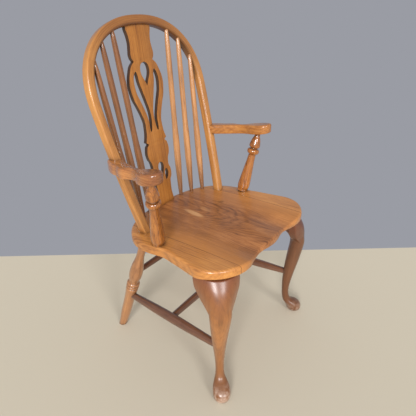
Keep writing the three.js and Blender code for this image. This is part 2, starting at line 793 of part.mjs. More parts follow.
function front_leg() {
  const stock = box(stock_x, leg_foot_x + past, leg_foot_y - past, stock_y, 0, seat_top);
  return leg_core().add(knee_band()).intersect(stock).add(leg_peg(0));
}

// Rear leg turning, from the floor up: shares of leg length and of the bulb radius.
const rear_profile_shares = [
  [0, 0.61], [0.012, 0.64], [0.06, 0.67], [0.136, 0.75], [0.208, 0.785], [0.283, 0.8],
  [0.35, 0.85], [0.41, 0.91], [0.444, 0.92], [0.451, 0.8], [0.457, 0.91], [0.466, 0.98],
  [0.475, 0.91], [0.48, 0.79], [0.485, 0.91], [0.495, 0.99], [0.505, 0.9], [0.511, 0.76],
  [0.527, 0.77], [0.56, 0.92], [0.61, 1], [0.68, 0.9], [0.75, 0.66], [0.8, 0.58],
  [0.87, 0.61], [0.915, 0.62], [0.93, 0.7], [0.95, 0.71], [0.965, 0.64], [0.99, 0.66],
];

function rear_leg(grow) {
  const length = distance(rear_foot, rear_head);
  const rows = rear_profile_shares.map(([s, k]) => [s * length, k * rear_bulb_radius]);
  const shoulder = rows[rows.length - 1][0];
  rows[0][0] -= rear_foot_sawn;
  const profile = [
    ...rows,
    [shoulder, rear_tenon_radius],
    [length + rear_tenon_length, rear_tenon_radius],
  ];
  return turned(rear_foot, rear_head, profile, turned_sides, grow);
}

// Point of the rear leg's axis at a height.
function rear_leg_point(z) {
  const share = z / rear_head.z;
  return {
    x: rear_foot.x + (rear_head.x - rear_foot.x) * share,
    y: rear_foot.y + (rear_head.y - rear_foot.y) * share,
    z,
  };
}

// Stretchers swell from both ends to the middle.
const stretcher_swell_shares = [
  [0, 0], [0.1, 0.28], [0.25, 0.68], [0.4, 0.96], [0.5, 1], [0.6, 0.96], [0.75, 0.68],
  [0.9, 0.28], [1, 0],
];

function swelled(from, to, inset, end_radius, mid_radius, grow) {
  const length = distance(from, to);
  const along = (d) => ({
    x: from.x + ((to.x - from.x) * d) / length,
    y: from.y + ((to.y - from.y) * d) / length,
    z: from.z + ((to.z - from.z) * d) / length,
  });
  const run = length - 2 * inset;
  const rows = stretcher_swell_shares.map(([s, k]) => [
    s * run, end_radius + (mid_radius - end_radius) * k,
  ]);
  return turned(along(inset), to, rows, stretcher_sides, grow);
}

const side_stretcher_front = {
  x: leg_foot_x - side_stretcher_inset,
  y: leg_foot_y + side_stretcher_inset,
  z: side_stretcher_front_z,
};
const side_stretcher_rear = rear_leg_point(side_stretcher_rear_z);

function side_stretcher(grow) {
  const [from, to] = [side_stretcher_front, side_stretcher_rear];
  return swelled(from, to, 0, side_stretcher_end_radius, side_stretcher_radius, grow);
}

function middle_stretcher(grow) {
  const to = {
    x: (side_stretcher_front.x + side_stretcher_rear.x) / 2,
    y: (side_stretcher_front.y + side_stretcher_rear.y) / 2,
    z: (side_stretcher_front.z + side_stretcher_rear.z) / 2,
  };
  const from = { ...to, x: -to.x };
  const bury = side_stretcher_radius - middle_stretcher_tenon;
  const [thin, thick] = [middle_stretcher_end_radius, middle_stretcher_radius];
  return swelled(from, to, bury, thin, thick, grow);
}

function rear_stretcher(grow) {
  const to = rear_leg_point(rear_stretcher_z);
  const from = { ...to, x: -to.x };
  const [thin, thick] = [rear_stretcher_end_radius, rear_stretcher_radius];
  return swelled(from, to, 0, thin, thick, grow);
}

// Sockets cut in each piece by the pieces that enter it
const bow_body = bow(0)
  .subtract(splat_slot(splat_head_half, splat_height / 2, splat_height + splat_bow_tongue))
  .subtract(both_spindles(0, fit_gap))
  .subtract(both_spindles(1, fit_gap))
  .subtract(both_spindles(2, fit_gap))
  .subtract(both_sides(arm_screw(fit_gap)));

const arm_body = (hand_extra) => arm_blank(hand_extra)
  .subtract(bow(fit_gap))
  .subtract(arm_post(fit_gap))
  .subtract(arm_screw(fit_gap));

let seat = seat_blank()
  .subtract(bow(fit_gap))
  .subtract(splat_slot(splat_foot_half, -splat_seat_tongue, splat_seat_tongue));
for (let i = 0; i < spindle_seat_shares.length; i++) {
  seat = seat.subtract(both_spindles(i, fit_gap));
}
seat = seat
  .subtract(both_sides(arm_post(fit_gap)))
  .subtract(both_sides(leg_peg(fit_gap)))
  .subtract(both_sides(rear_leg(fit_gap)));

// The turned rear legs are raked, so their feet are sawn level with the floor.
const floor_reach = 2 * seat_half_width;
const above_floor = box(-floor_reach, floor_reach, -floor_reach, floor_reach, 0, seat_top);
const front_leg_body = front_leg().subtract(side_stretcher(fit_gap));
const rear_leg_body = rear_leg(0)
  .intersect(above_floor)
  .subtract(side_stretcher(fit_gap))
  .subtract(rear_stretcher(fit_gap));
const side_stretcher_body = side_stretcher(0).subtract(middle_stretcher(fit_gap));

const side_room = box(
  0, leg_foot_x + past, stock_y + fit_gap, leg_foot_y + past, 0, seat_top,
);
const front_room = box(
  leg_foot_x - past, stock_x - fit_gap, leg_foot_y - past, stock_y, 0, seat_top,
);
const side_block_body = knee_band().intersect(side_room);
const front_block_body = knee_band().intersect(front_room);

// Boards of the seat
const half_gap = fit_gap / 2;
const board = (x0, x1) => {
  const reach = 2 * seat_half_depth;
  return seat.intersect(box(x0, x1, -reach, reach, 0, 2 * seat_top));
};
const seat_edge = 2 * seat_half_width;
const centre_board = board(-seat_glue_line + half_gap, seat_glue_line - half_gap);
const left_board = board(seat_glue_line + half_gap, seat_edge);
const right_board = board(-seat_edge, -seat_glue_line - half_gap);

// Finishes
const finishes = {
  seat: { color: 0x8f5a32, roughness: 0.38, metalness: 0 },
  bow: { color: 0xa8622f, roughness: 0.32, metalness: 0 },
  splat: { color: 0xb87433, roughness: 0.36, metalness: 0 },
  spindle: { color: 0xb5723c, roughness: 0.4, metalness: 0 },
  arm: { color: 0x9a5a35, roughness: 0.3, metalness: 0 },
  turned_post: { color: 0xa85f30, roughness: 0.3, metalness: 0 },
  front_leg: { color: 0x8a4f2f, roughness: 0.35, metalness: 0 },
  rear_leg: { color: 0xa86a3c, roughness: 0.35, metalness: 0 },
  stretcher: { color: 0x7a452a, roughness: 0.38, metalness: 0 },
  steel: { color: 0x77716a, roughness: 0.45, metalness: 1 },
};

const chair = new THREE.Group();
chair.name = "captains_chair";

function piece(name, body, finish) {
  const mesh = body.getMesh();
  const geometry = new THREE.BufferGeometry();
  geometry.setAttribute("position", new THREE.BufferAttribute(mesh.vertProperties, mesh.numProp));
  geometry.setIndex(new THREE.BufferAttribute(mesh.triVerts, 1));
  geometry.computeVertexNormals();
  const material = new THREE.MeshStandardMaterial(finishes[finish]);
  material.name = finish;
  const node = new THREE.Mesh(geometry, material);
  node.name = name;
  chair.add(node);
}

function pair(name, body, finish) {
  piece(`${name}_left`, body, finish);
  piece(`${name}_right`, mirrored(body), finish);
}

piece("seat_board_centre", centre_board, "seat");
piece("seat_board_left", left_board, "seat");
piece("seat_board_right", right_board, "seat");
piece("back_bow", bow_body, "bow");
piece("back_splat", splat(), "splat");
for (const [i, place] of ["inner", "middle", "outer"].entries()) {
  piece(`spindle_${place}_left`, spindle(i, "left", 0), "spindle");
  piece(`spindle_${place}_right`, mirrored(spindle(i, "right", 0)), "spindle");
}
piece("arm_left", arm_body(arm_left_hand_extra), "arm");
piece("arm_right", mirrored(arm_body(arm_right_hand_extra)), "arm");
pair("arm_post", arm_post(0), "turned_post");
pair("arm_screw", arm_screw(0), "steel");
pair("front_leg", front_leg_body, "front_leg");
pair("knee_block_side", side_block_body, "front_leg");
pair("knee_block_front", front_block_body, "front_leg");
pair("rear_leg", rear_leg_body, "rear_leg");
pair("side_stretcher", side_stretcher_body, "stretcher");
piece("middle_stretcher", middle_stretcher(0), "stretcher");
piece("rear_stretcher", rear_stretcher(0), "stretcher");

// The frame's origin is the middle of the footprint, on the floor.
const bounds = new THREE.Box3().setFromObject(chair);
const middle = bounds.getCenter(new THREE.Vector3());
for (const node of chair.children) {
  node.geometry.translate(-middle.x, -middle.y, -bounds.min.z);
}

export default chair;
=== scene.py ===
import math

import bmesh
import bpy
import numpy as np
from mathutils import Matrix, Quaternion, Vector


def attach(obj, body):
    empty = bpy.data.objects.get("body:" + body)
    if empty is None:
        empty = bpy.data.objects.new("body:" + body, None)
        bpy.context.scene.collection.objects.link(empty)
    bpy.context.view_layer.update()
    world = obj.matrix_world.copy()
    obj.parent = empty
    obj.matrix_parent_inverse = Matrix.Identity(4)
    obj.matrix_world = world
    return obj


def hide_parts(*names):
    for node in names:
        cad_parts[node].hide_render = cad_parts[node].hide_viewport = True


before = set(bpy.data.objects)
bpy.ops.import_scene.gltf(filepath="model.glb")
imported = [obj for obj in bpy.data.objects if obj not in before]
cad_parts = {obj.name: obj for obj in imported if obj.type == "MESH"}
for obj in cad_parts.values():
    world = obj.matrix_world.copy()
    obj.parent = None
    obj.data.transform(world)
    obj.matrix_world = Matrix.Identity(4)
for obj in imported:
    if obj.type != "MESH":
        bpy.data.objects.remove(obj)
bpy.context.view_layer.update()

# Seat
# Three boards of elm glued edge to edge, sawn to outline and hollowed into a saddle by hand.
# Stained and waxed. The rim is rounded over and the underside is shaved back along the front.

# Sizes are in millimetres, and mm turns them into Blender's metres. The chair and the camera
# are placed from the seat's middle, and the frame's origin lies a little behind it.
mm = 0.001
footprint_middle_y = 27.737
seat_top = 440
seat_thickness = 33
seat_half_width = 252
seat_half_depth = 223
seat_arris = 8
seat_under_arris = 3
seat_front_under_arris = 10
seat_glue_line = 178
seat_glue_gap = 0.3
seat_rear_fall = 13
seat_rim_fall = 5
seat_dish_depth = 9
seat_thigh_depth = 15
seat_pommel_depth = 4
# Where each hollow of the saddle starts or has its middle, and how far it runs, as shares of
# the seat's half width or half depth.
seat_rear_start = -0.15
seat_rim_start, seat_rim_run = 0.8, 0.2
seat_rim_back_start, seat_rim_back_run = -0.1, 0.3
seat_dish_middle, seat_dish_width, seat_dish_length = 0.05, 0.6, 0.5
seat_front_start, seat_front_run = 0.25, 0.68
seat_thigh_middle, seat_thigh_width = 0.34, 0.2
seat_pommel_width = 0.16
seat_undercut_start, seat_undercut_run = 0.55, 0.25
seat_outline_shares = [
    (0, -0.985), (0.1, -0.975), (0.2, -0.952), (0.3, -0.948), (0.425, -0.972), (0.556, -1.004),
    (0.7, -0.986), (0.8, -0.935), (0.89, -0.866), (0.972, -0.75), (1.006, -0.615),
    (1, -0.516), (0.983, -0.404), (0.952, -0.193), (0.932, -0.018), (0.945, 0.105),
    (0.963, 0.24), (0.958, 0.36), (0.932, 0.48), (0.85, 0.63), (0.715, 0.775), (0.53, 0.875),
    (0.27, 0.94), (0, 0.955),
]
seat_curve_steps = 16
seat_sides = 360
seat_top_rings = 40
seat_last_ring = 0.02
edge_facets = 7


def spline(points, steps, closed=False):
    """Points on a smooth curve through the given ones."""
    points = np.asarray(points, float)
    count = len(points)
    if closed:
        padded = np.vstack([points[-1:], points, points[:2]])
        spans = count
    else:
        first = 2 * points[0] - points[1]
        last = 2 * points[-1] - points[-2]
        padded = np.vstack([first, points, last])
        spans = count - 1
    curve = []
    for i in range(spans):
        p0, p1, p2, p3 = padded[i:i + 4]
        t1 = math.sqrt(np.linalg.norm(p1 - p0))
        t2 = t1 + math.sqrt(np.linalg.norm(p2 - p1))
        t3 = t2 + math.sqrt(np.linalg.norm(p3 - p2))
        for k in range(steps):
            t = t1 + (t2 - t1) * k / steps
            a1 = (t1 - t) / t1 * p0 + t / t1 * p1
            a2 = (t2 - t) / (t2 - t1) * p1 + (t - t1) / (t2 - t1) * p2
            a3 = (t3 - t) / (t3 - t2) * p2 + (t - t2) / (t3 - t2) * p3
            b1 = (t2 - t) / t2 * a1 + t / t2 * a2
            b2 = (t3 - t) / (t3 - t1) * a2 + (t - t1) / (t3 - t1) * a3
            curve.append((t2 - t) / (t2 - t1) * b1 + (t - t1) / (t2 - t1) * b2)
    if not closed:
        curve.append(points[-1])
    return np.array(curve)


def evenly(curve, count):
    """The same closed curve, cut into equal lengths."""
    ring = np.vstack([curve, curve[:1]])
    lengths = np.concatenate([[0], np.cumsum(np.linalg.norm(np.diff(ring, axis=0), axis=1))])
    places = np.linspace(0, lengths[-1], count, endpoint=False)
    return np.column_stack([np.interp(places, lengths, ring[:, k]) for k in range(ring.shape[1])])


def ease(t):
    u = np.clip(t, 0, 1)
    return u * u * (3 - 2 * u)


def quarter_round(radius, facets):
    """Inset and drop of a rounded edge at each facet, from its side up to its top."""
    turns = [math.pi / 2 * k / facets for k in range(facets + 1)]
    return [(radius * (1 - math.cos(turn)), radius * (1 - math.sin(turn))) for turn in turns]


def seat_height(x, y):
    u, v = np.abs(x) / seat_half_width, y / seat_half_depth
    rear = seat_rear_fall * ease(v - seat_rear_start)
    rim = (seat_rim_fall * ease((u - seat_rim_start) / seat_rim_run)
           * ease((v - seat_rim_back_start) / seat_rim_back_run))
    dish = seat_dish_depth * np.exp(
        -(u / seat_dish_width) ** 2 - ((v - seat_dish_middle) / seat_dish_length) ** 2)
    front = ease((-v - seat_front_start) / seat_front_run)
    thigh = seat_thigh_depth * front * np.exp(
        -((u - seat_thigh_middle) / seat_thigh_width) ** 2)
    pommel = seat_pommel_depth * front * np.exp(-(u / seat_pommel_width) ** 2)
    return seat_top - rear - rim - dish - thigh - pommel


def loft(rings):
    """Points and faces of a closed skin through matching rings."""
    count = len(rings[0])
    points = np.vstack(rings)
    faces = []
    for r in range(len(rings) - 1):
        for i in range(count):
            a, b = r * count + i, r * count + (i + 1) % count
            faces.append((a, b, b + count, a + count))
    faces.append(tuple(range(count - 1, -1, -1)))
    faces.append(tuple(range(len(points) - count, len(points))))
    return points, faces


def build_mesh(name, points, faces, grain, crease=40):
    """A closed mesh from points in millimetres. Grain holds each point's place in the wood:
    two distances across the fibres, then one along them."""
    mesh = bpy.data.meshes.new(name)
    placed = (np.asarray(points) - (0, footprint_middle_y, 0)) * mm
    mesh.from_pydata(placed.tolist(), [], faces)
    along = mesh.attributes.new("grain", "FLOAT_VECTOR", "POINT")
    along.data.foreach_set("vector", (np.asarray(grain, float) * mm).ravel())
    work = bmesh.new()
    work.from_mesh(mesh)
    bmesh.ops.recalc_face_normals(work, faces=work.faces)
    work.to_mesh(mesh)
    work.free()
    mesh.shade_smooth()
    mesh.set_sharp_from_angle(angle=math.radians(crease))
    return mesh


def put_in_scene(name, data):
    thing = bpy.data.objects.new(name, data)
    bpy.context.scene.collection.objects.link(thing)
    return thing


def fit(mesh, slot, finish, *nodes):
    """Puts a finished mesh on the frame in place of the CAD nodes that it stands for."""
    thing = put_in_scene(mesh.name, mesh)
    mesh.materials.append(finish)
    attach(thing, "root")
    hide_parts(*nodes)


def hex_colour(code):
    """An sRGB hex value as linear red, green, blue and alpha."""
    parts = [int(code[i:i + 2], 16) / 255 for i in (1, 3, 5)]
    return [c / 12.92 if c <= 0.04045 else ((c + 0.055) / 1.055) ** 2.4 for c in parts] + [1]


def add_node(tree, kind, settings=None, **links):
    """Adds a shader node. Settings name its properties or inputs. Links name its inputs, i6
    being the one numbered 6, and give each a socket, or a node for its first output."""
    node = tree.nodes.new("ShaderNode" + kind)
    for key, value in (settings or {}).items():
        if isinstance(key, int) or key in node.inputs:
            node.inputs[key].default_value = value
        else:
            setattr(node, key, value)
    for key, source in links.items():
        slot = int(key[1:]) if key[0] == "i" and key[1:].isdigit() else key.replace("_", " ")
        if isinstance(source, bpy.types.Node):
            source = next(socket for socket in source.outputs if socket.enabled)
        tree.links.new(source, node.inputs[slot])
    return node


def wood(name, light, middle, dark, ring, heart, tilt, roughness, streak=0.35, ring_share=0.2,
         coat=0.25, blotch=0.3, pores=0.25, coat_roughness=0.16, wear_and_painted_light=0):
    """Stained and polished wood. Ring is the width of a growth ring, heart the place of the
    tree's centre across the piece's grain, both in millimetres, and tilt its lean in degrees.
    Streak, ring_share, blotch and pores are how far each changes the tone, and the last argument
    how far edges turn lighter, as wear and painted highlight, and creases darker, as painted
    shade."""
    finish = bpy.data.materials.new(name)
    finish.use_nodes = True
    tree = finish.node_tree
    tree.nodes.clear()
    grain = add_node(tree, "Attribute", {"name": "grain", "attribute_name": "grain"})
    place = grain.outputs["Vector"]
    # Marks drawn out along the fibres, by width and length in millimetres. Real fibres and
    # pores are a tenth of a millimetre wide, and are coarser here so that they show.
    marks = []
    for width, length, settings in [
        (2.2, 75, {"Detail": 4, "Roughness": 0.62}), (9, 320, {"Detail": 3, "Distortion": 0.4}),
        (48, 150, {"Detail": 2}), (1.3, 22, {"Detail": 2, "Roughness": 0.4}),
    ]:
        scaled = add_node(tree, "Mapping", {
            "Scale": (1 / (width * mm), 1 / (width * mm), 1 / (length * mm)),
        }, Vector=place)
        marks.append(add_node(tree, "TexNoise", {"Scale": 1, **settings}, Vector=scaled))
    fibres, bands, patches, pore_marks = marks
    # The rings waver, five times more slowly along the trunk than across it. One wave is
    # 2 pi / 20 of a unit at scale 1.
    turned_place = add_node(tree, "Mapping", {
        "Location": [c * mm for c in (*heart, 0)],
        "Rotation": [math.radians(a) for a in (*tilt, 0)],
    }, Vector=place)
    lengthened = add_node(tree, "Mapping", {"Scale": (1, 1, 1 / 5)}, Vector=turned_place)
    rings = add_node(tree, "TexWave", {
        "wave_type": "RINGS", "rings_direction": "Z", "wave_profile": "SIN",
        "Scale": 2 * math.pi / 20 / (ring * mm), "Distortion": 16, "Detail": 3,
        "Detail Scale": 0.3, "Detail Roughness": 0.6,
    }, Vector=lengthened)
    # Each pattern's values from low to high, spread over another range.
    usual_tone = 0.42
    faintest_ring = 0.1
    smoother, rougher = 0.05, 0.08
    spread = []
    for pattern, low, high, to_low, to_high in [
        (rings, 0.35, 1, 0, 1),
        (patches, 0.35, 0.65, faintest_ring * ring_share, ring_share),
        (fibres, 0.28, 0.72, -streak / 2, streak / 2),
        (bands, 0.3, 0.7, usual_tone - streak / 2, usual_tone + streak / 2),
        (patches, 0.25, 0.75, -blotch / 2, blotch / 2), (pore_marks, 0.58, 0.7, 0, pores),
        (fibres, 0.3, 0.7, roughness - smoother, roughness + rougher),
    ]:
        spread.append(add_node(tree, "MapRange", {
            "From Min": low, "From Max": high, "To Min": to_low, "To Max": to_high,
        }, Value=pattern.outputs["Fac"]))
    late_wood, late_strength, *tones, sheen = spread
    depth = add_node(tree, "Math", {"operation": "MULTIPLY"}, i0=late_wood, i1=late_strength)
    for tone in tones:
        depth = add_node(tree, "Math", {"operation": "ADD"}, i0=depth, i1=tone)
    stained = add_node(tree, "ValToRGB", Fac=depth)
    stops = stained.color_ramp.elements
    stops[0].color = hex_colour(light)
    stops[1].color = hex_colour(dark)
    middle_stop = 0.45
    stops.new(middle_stop).color = hex_colour(middle)
    # Painted shade: the colour darkens where other surfaces close it in, as where one piece meets
    # another, and this stands also for the old polish and dirt that gather there. Edges turn
    # lighter, where hands and cloths rub the stain off and as a painted highlight, and creases
    # darker, as painted shade.
    corner_reach = 14 * mm
    corners = add_node(tree, "AmbientOcclusion", {"Distance": corner_reach, "samples": 8})
    bend = add_node(tree, "NewGeometry")
    for dirt_wear_and_painted_light, low, high, to_low, to_high in [
        (corners.outputs["AO"], 0.25, 0.95, 0.35, 1),
        (bend.outputs["Pointiness"], 0.44, 0.56, 1 - wear_and_painted_light, 1 + wear_and_painted_light),
    ]:
        tone = add_node(tree, "MapRange", {
            "From Min": low, "From Max": high, "To Min": to_low, "To Max": to_high,
        }, Value=dirt_wear_and_painted_light)
        stained = add_node(tree, "Mix", {
            "data_type": "RGBA", "blend_type": "MULTIPLY", "Factor": 1,
        }, i6=stained, i7=tone)
    fibre_height = 0.4 * mm
    relief = add_node(tree, "Bump", {"Strength": 0.06, "Distance": fibre_height},
                      Height=fibres.outputs["Fac"])
    shader = add_node(tree, "BsdfPrincipled", {
        "IOR": 1.5, "Coat Weight": coat, "Coat Roughness": coat_roughness, "Coat IOR": 1.5,
    }, Base_Color=stained, Roughness=sheen, Normal=relief)
    add_node(tree, "OutputMaterial", Surface=shader)
    return finish


def lay_over(finish, code, share):
    """Lays another colour over the wood where share, a node or its output, rises to 1."""
    tree = finish.node_tree
    surface = tree.nodes["Principled BSDF"]
    covered = add_node(tree, "Mix", {"data_type": "RGBA", 7: hex_colour(code)},
                       Factor=share, i6=surface.inputs["Base Color"].links[0].from_socket)
    tree.links.new(covered.outputs["Result"], surface.inputs["Base Color"])


def along_grain(finish, axis, places, shares, middle=None):
    """A share that goes from the first to the second of shares between two places. These are
    millimetres along X, Y or Z of the grain, or millimetres to either side of middle."""
    tree = finish.node_tree
    axes = add_node(tree, "SeparateXYZ", Vector=tree.nodes["grain"].outputs["Vector"])
    distance = axes.outputs[axis]
    if middle is not None:
        off = add_node(tree, "Math", {"operation": "SUBTRACT", 1: middle * mm}, i0=distance)
        distance = add_node(tree, "Math", {"operation": "ABSOLUTE"}, i0=off)
    return add_node(tree, "MapRange", {
        "From Min": places[0] * mm, "From Max": places[1] * mm,
        "To Min": shares[0], "To Max": shares[1],
    }, Value=distance)


def saw_off(work, place, away):
    """Cuts a mesh at a plane, drops what lies beyond it and gives the edges of the cut."""
    cut = bmesh.ops.bisect_plane(
        work, geom=work.verts[:] + work.edges[:] + work.faces[:], dist=1e-7,
        plane_co=place, plane_no=away, clear_outer=True)
    return [e for e in cut["geom_cut"] if isinstance(e, bmesh.types.BMEdge)]


half_outline = [(u * seat_half_width, v * seat_half_depth) for u, v in seat_outline_shares]
other_half = [(-x, y) for x, y in half_outline[1:-1]][::-1]
seat_outline = evenly(
    spline(half_outline + other_half, seat_curve_steps, closed=True), seat_sides)
seat_reach = np.linalg.norm(seat_outline, axis=1)
undercut = seat_under_arris + (seat_front_under_arris - seat_under_arris) * ease(
    (-seat_outline[:, 1] / seat_half_depth - seat_undercut_start) / seat_undercut_run)


def seat_ring(share, inset, level):
    flat = seat_outline * (share * (1 - inset / seat_reach))[:, None]
    return np.column_stack([flat, level(flat[:, 0], flat[:, 1])])


seat_bottom = seat_top - seat_thickness
seat_rings = [
    seat_ring(1, undercut, lambda x, y: x * 0 + seat_bottom),
    seat_ring(1, 0 * undercut, lambda x, y: seat_bottom + undercut),
]
for inset, drop in quarter_round(seat_arris, edge_facets):
    seat_rings.append(seat_ring(1, inset, lambda x, y: seat_height(x, y) - drop))
for share in np.linspace(1, seat_last_ring, seat_top_rings)[1:]:
    seat_rings.append(seat_ring(share, seat_arris, seat_height))
seat_points, seat_faces = loft(seat_rings)

# The centre board's elm gives the eye brown wood with flowing figure and a soft sheen, dulled
# by years of sitting, and more golden towards its sides. Pale patches are worn through the
# stain, a dark knot lies beside them, and wax has gone black in the glue lines.
waxed_elm = wood("waxed_elm", "#c88850", "#9f6538", "#683e23", ring=6, heart=(-30, 95),
                 tilt=(7, 3), roughness=0.36, streak=0.28, ring_share=0.34)
tree = waxed_elm.node_tree
for code, (x, y), (half_width, half_length), turn, strength in [
    ("#d3a06c", (-8, 68), (13, 52), 8, 0.85), ("#c08c5c", (34, 54), (12, 34), 14, 0.4),
    ("#4f2e18", (104, 40), (9, 14), -20, 0.7),
]:
    around = add_node(tree, "Mapping", {
        "vector_type": "TEXTURE", "Location": (x * mm, 0, y * mm),
        "Rotation": (0, math.radians(turn), 0), "Scale": (half_width * mm, 1, half_length * mm),
    }, Vector=tree.nodes["grain"].outputs["Vector"])
    mark = add_node(tree, "TexGradient", {"gradient_type": "SPHERICAL"}, Vector=around)
    lay_over(waxed_elm, code, add_node(tree, "MapRange", {
        "From Min": 0.05, "From Max": 0.5, "To Min": 0, "To Max": strength,
    }, Value=mark.outputs["Fac"]))
golden_sides = (80, 170)
seam_width = 1.6
wax_seam = (seat_glue_line - seam_width, seat_glue_line - seam_width / 2)
for code, places, strength in [("#cf8a45", golden_sides, 0.6), ("#3a2213", wax_seam, 0.8)]:
    lay_over(waxed_elm, code, along_grain(waxed_elm, "X", places, (0, strength), middle=0))
# The side boards' elm gives the eye a more golden wood, with the same figure and more shine.
golden_elm = wood("golden_elm", "#e0a055", "#c07f41", "#89562d", ring=7, heart=(-60, 80),
                  tilt=(4, 2), roughness=0.31, streak=0.26, ring_share=0.26, coat=0.38)
for label, low, high, offset, elm in [
    ("centre", -seat_glue_line, seat_glue_line, 0, waxed_elm),
    ("left", seat_glue_line, None, 140, golden_elm),
    ("right", None, -seat_glue_line, -210, golden_elm),
]:
    grain = np.column_stack([
        seat_points[:, 0] + offset, seat_points[:, 2] - seat_top, seat_points[:, 1] + offset,
    ])
    mesh = build_mesh(f"{label}_board", seat_points, seat_faces, grain)
    work = bmesh.new()
    work.from_mesh(mesh)
    for edge, away in ((low, -1), (high, 1)):
        if edge is not None:
            place = ((edge - away * seat_glue_gap / 2) * mm, 0, 0)
            bmesh.ops.contextual_create(work, geom=saw_off(work, place, (away, 0, 0)))
    bmesh.ops.recalc_face_normals(work, faces=work.faces)
    work.to_mesh(mesh)
    work.free()
    mesh.set_sharp_from_angle(angle=math.radians(40))
    fit(mesh, "seat", elm, f"seat_board_{label}")

# Back bow
# One length of ash, steamed and bent to a hoop. Its section is a rectangle with rounded
# corners, the inner front one most, and tenons at its feet go into the seat.

bow_front_y = 99.3
bow_rake = math.radians(16.36)
bow_foot_z = 433
bow_base_half = 199.2
bow_wide_half = 235.6
bow_wide_rise = 374.3
bow_rise = 586
bow_width = 26
bow_depth = 25
bow_round = 4.5
bow_inner_round = 9
bow_crown_power = 2.25
bow_limb_power = 1.36
bow_tenon_length = 18
bow_limb_steps = 40
bow_crown_steps = 70
bow_corner_facets = 6


def bow_place(x, rise, back):
    return np.array([
        x,
        bow_front_y + rise * math.sin(bow_rake) + back * math.cos(bow_rake),
        seat_top + rise * math.cos(bow_rake) - back * math.sin(bow_rake),
    ])


bow_foot = (bow_foot_z - bow_tenon_length - seat_top) / math.cos(bow_rake)
half_path = []
for rise in np.linspace(bow_foot, bow_wide_rise, bow_limb_steps, endpoint=False):
    fall = (bow_wide_rise - rise) / bow_wide_rise
    half_path.append((bow_wide_half - (bow_wide_half - bow_base_half) * fall ** bow_limb_power,
                      rise))
for a in np.linspace(0, math.pi / 2, bow_crown_steps):
    half_path.append((
        bow_wide_half * max(math.cos(a), 0) ** (2 / bow_crown_power),
        bow_wide_rise + (bow_rise - bow_wide_rise) * math.sin(a) ** (2 / bow_crown_power)))
half_path[-1] = (0, half_path[-1][1])
path = np.array(half_path + [(-x, rise) for x, rise in half_path[:-1]][::-1])
run = np.gradient(path, axis=0)
run /= np.linalg.norm(run, axis=1)[:, None]
travelled = np.concatenate([[0], np.cumsum(np.linalg.norm(np.diff(path, axis=0), axis=1))])
bow_section = []
for sx, sy, turn in [(1, 1, 0), (-1, 1, 1), (-1, -1, 2), (1, -1, 3)]:
    radius = bow_inner_round if turn == 2 else bow_round
    for k in range(bow_corner_facets + 1):
        a = (turn + k / bow_corner_facets) * math.pi / 2
        bow_section.append((sx * (bow_width / 2 - radius) + radius * math.cos(a),
                            sy * (bow_depth / 2 - radius) + radius * math.sin(a)))
bow_rings, bow_grain = [], []
for (x, rise), (dx, dz), distance in zip(path, run, travelled):
    ring = []
    for u, v in bow_section:
        across = u - bow_width / 2
        ring.append(bow_place(x + dz * across, rise - dx * across, bow_depth / 2 + v))
        bow_grain.append((u, v, distance))
    bow_rings.append(ring)
# Polished ash gives the eye golden brown wood with straight, fine lines that follow the bend,
# and bright lines of light along its rounded edges.
polished_ash = wood("polished_ash", "#da9d55", "#b87d42", "#7f502c", ring=5, heart=(60, 30),
                    tilt=(0.3, 0.2), roughness=0.3, streak=0.3, coat=0.35)
# Painted shade: under the crown the inner face is painted nearly black, where it faces down away
# from the light. The crown itself is painted browner than the limbs, also as painted shade, where
# less light falls on it.
bow_shade_depth = 2
inner_face = (bow_inner_round - bow_width / 2, bow_shade_depth - bow_width / 2)
under_crown = (220, 360)
shaded_crown = (100, 320)
bow_middle = travelled[-1] / 2
# Painted shade on the inner face under the crown.
crown_shade_share = add_node(
    polished_ash.node_tree, "Math", {"operation": "MULTIPLY"},
    i0=along_grain(polished_ash, "X", inner_face, (0, 0.9)),
    i1=along_grain(polished_ash, "Z", under_crown, (1, 0.15), bow_middle))
lay_over(polished_ash, "#2e1b10", crown_shade_share)
# Painted shade that makes the crown browner.
lay_over(polished_ash, "#7c4a22",
         along_grain(polished_ash, "Z", shaded_crown, (0.65, 0), bow_middle))
points, faces = loft(bow_rings)
fit(build_mesh("hoop", points, faces, bow_grain), "bow", polished_ash, "back_bow")

# Splat
# A thin board of beech, fretsawn to outline and pierced. Its sawn edges show end grain,
# which takes more stain than the faces, and are painted darker still as painted shade.

splat_foot_y = 192.4
splat_foot_z = 437
splat_rake = math.radians(7.76)
splat_height = 540.1
splat_half_width = 70
splat_thickness = 13
splat_arris = 0.8
splat_seat_tongue = 18
splat_bow_tongue = 9
splat_foot_half = 35.5
splat_head_half = 48.5
splat_edge_shares = [
    (0.507, 0.004), (0.46, 0.04), (0.457, 0.062), (0.477, 0.096), (0.5, 0.12), (0.585, 0.138),
    (0.62, 0.163), (0.597, 0.192), (0.525, 0.213), (0.53, 0.243), (0.565, 0.262),
    (0.65, 0.282), (0.7, 0.315), (0.672, 0.34), (0.63, 0.357), (0.515, 0.37),
]
splat_waist_shares = [
    (0.645, 0.384), (0.6, 0.4), (0.54, 0.43), (0.51, 0.475), (0.51, 0.494), (0.59, 0.534),
    (0.757, 0.589), (0.9, 0.63), (0.985, 0.68), (1, 0.705), (0.96, 0.74), (0.857, 0.775),
    (0.74, 0.805), (0.557, 0.826),
]
splat_neck_shares = [
    (0.64, 0.842), (0.665, 0.862), (0.635, 0.885), (0.6, 0.916), (0.62, 0.95), (0.693, 0.985),
]
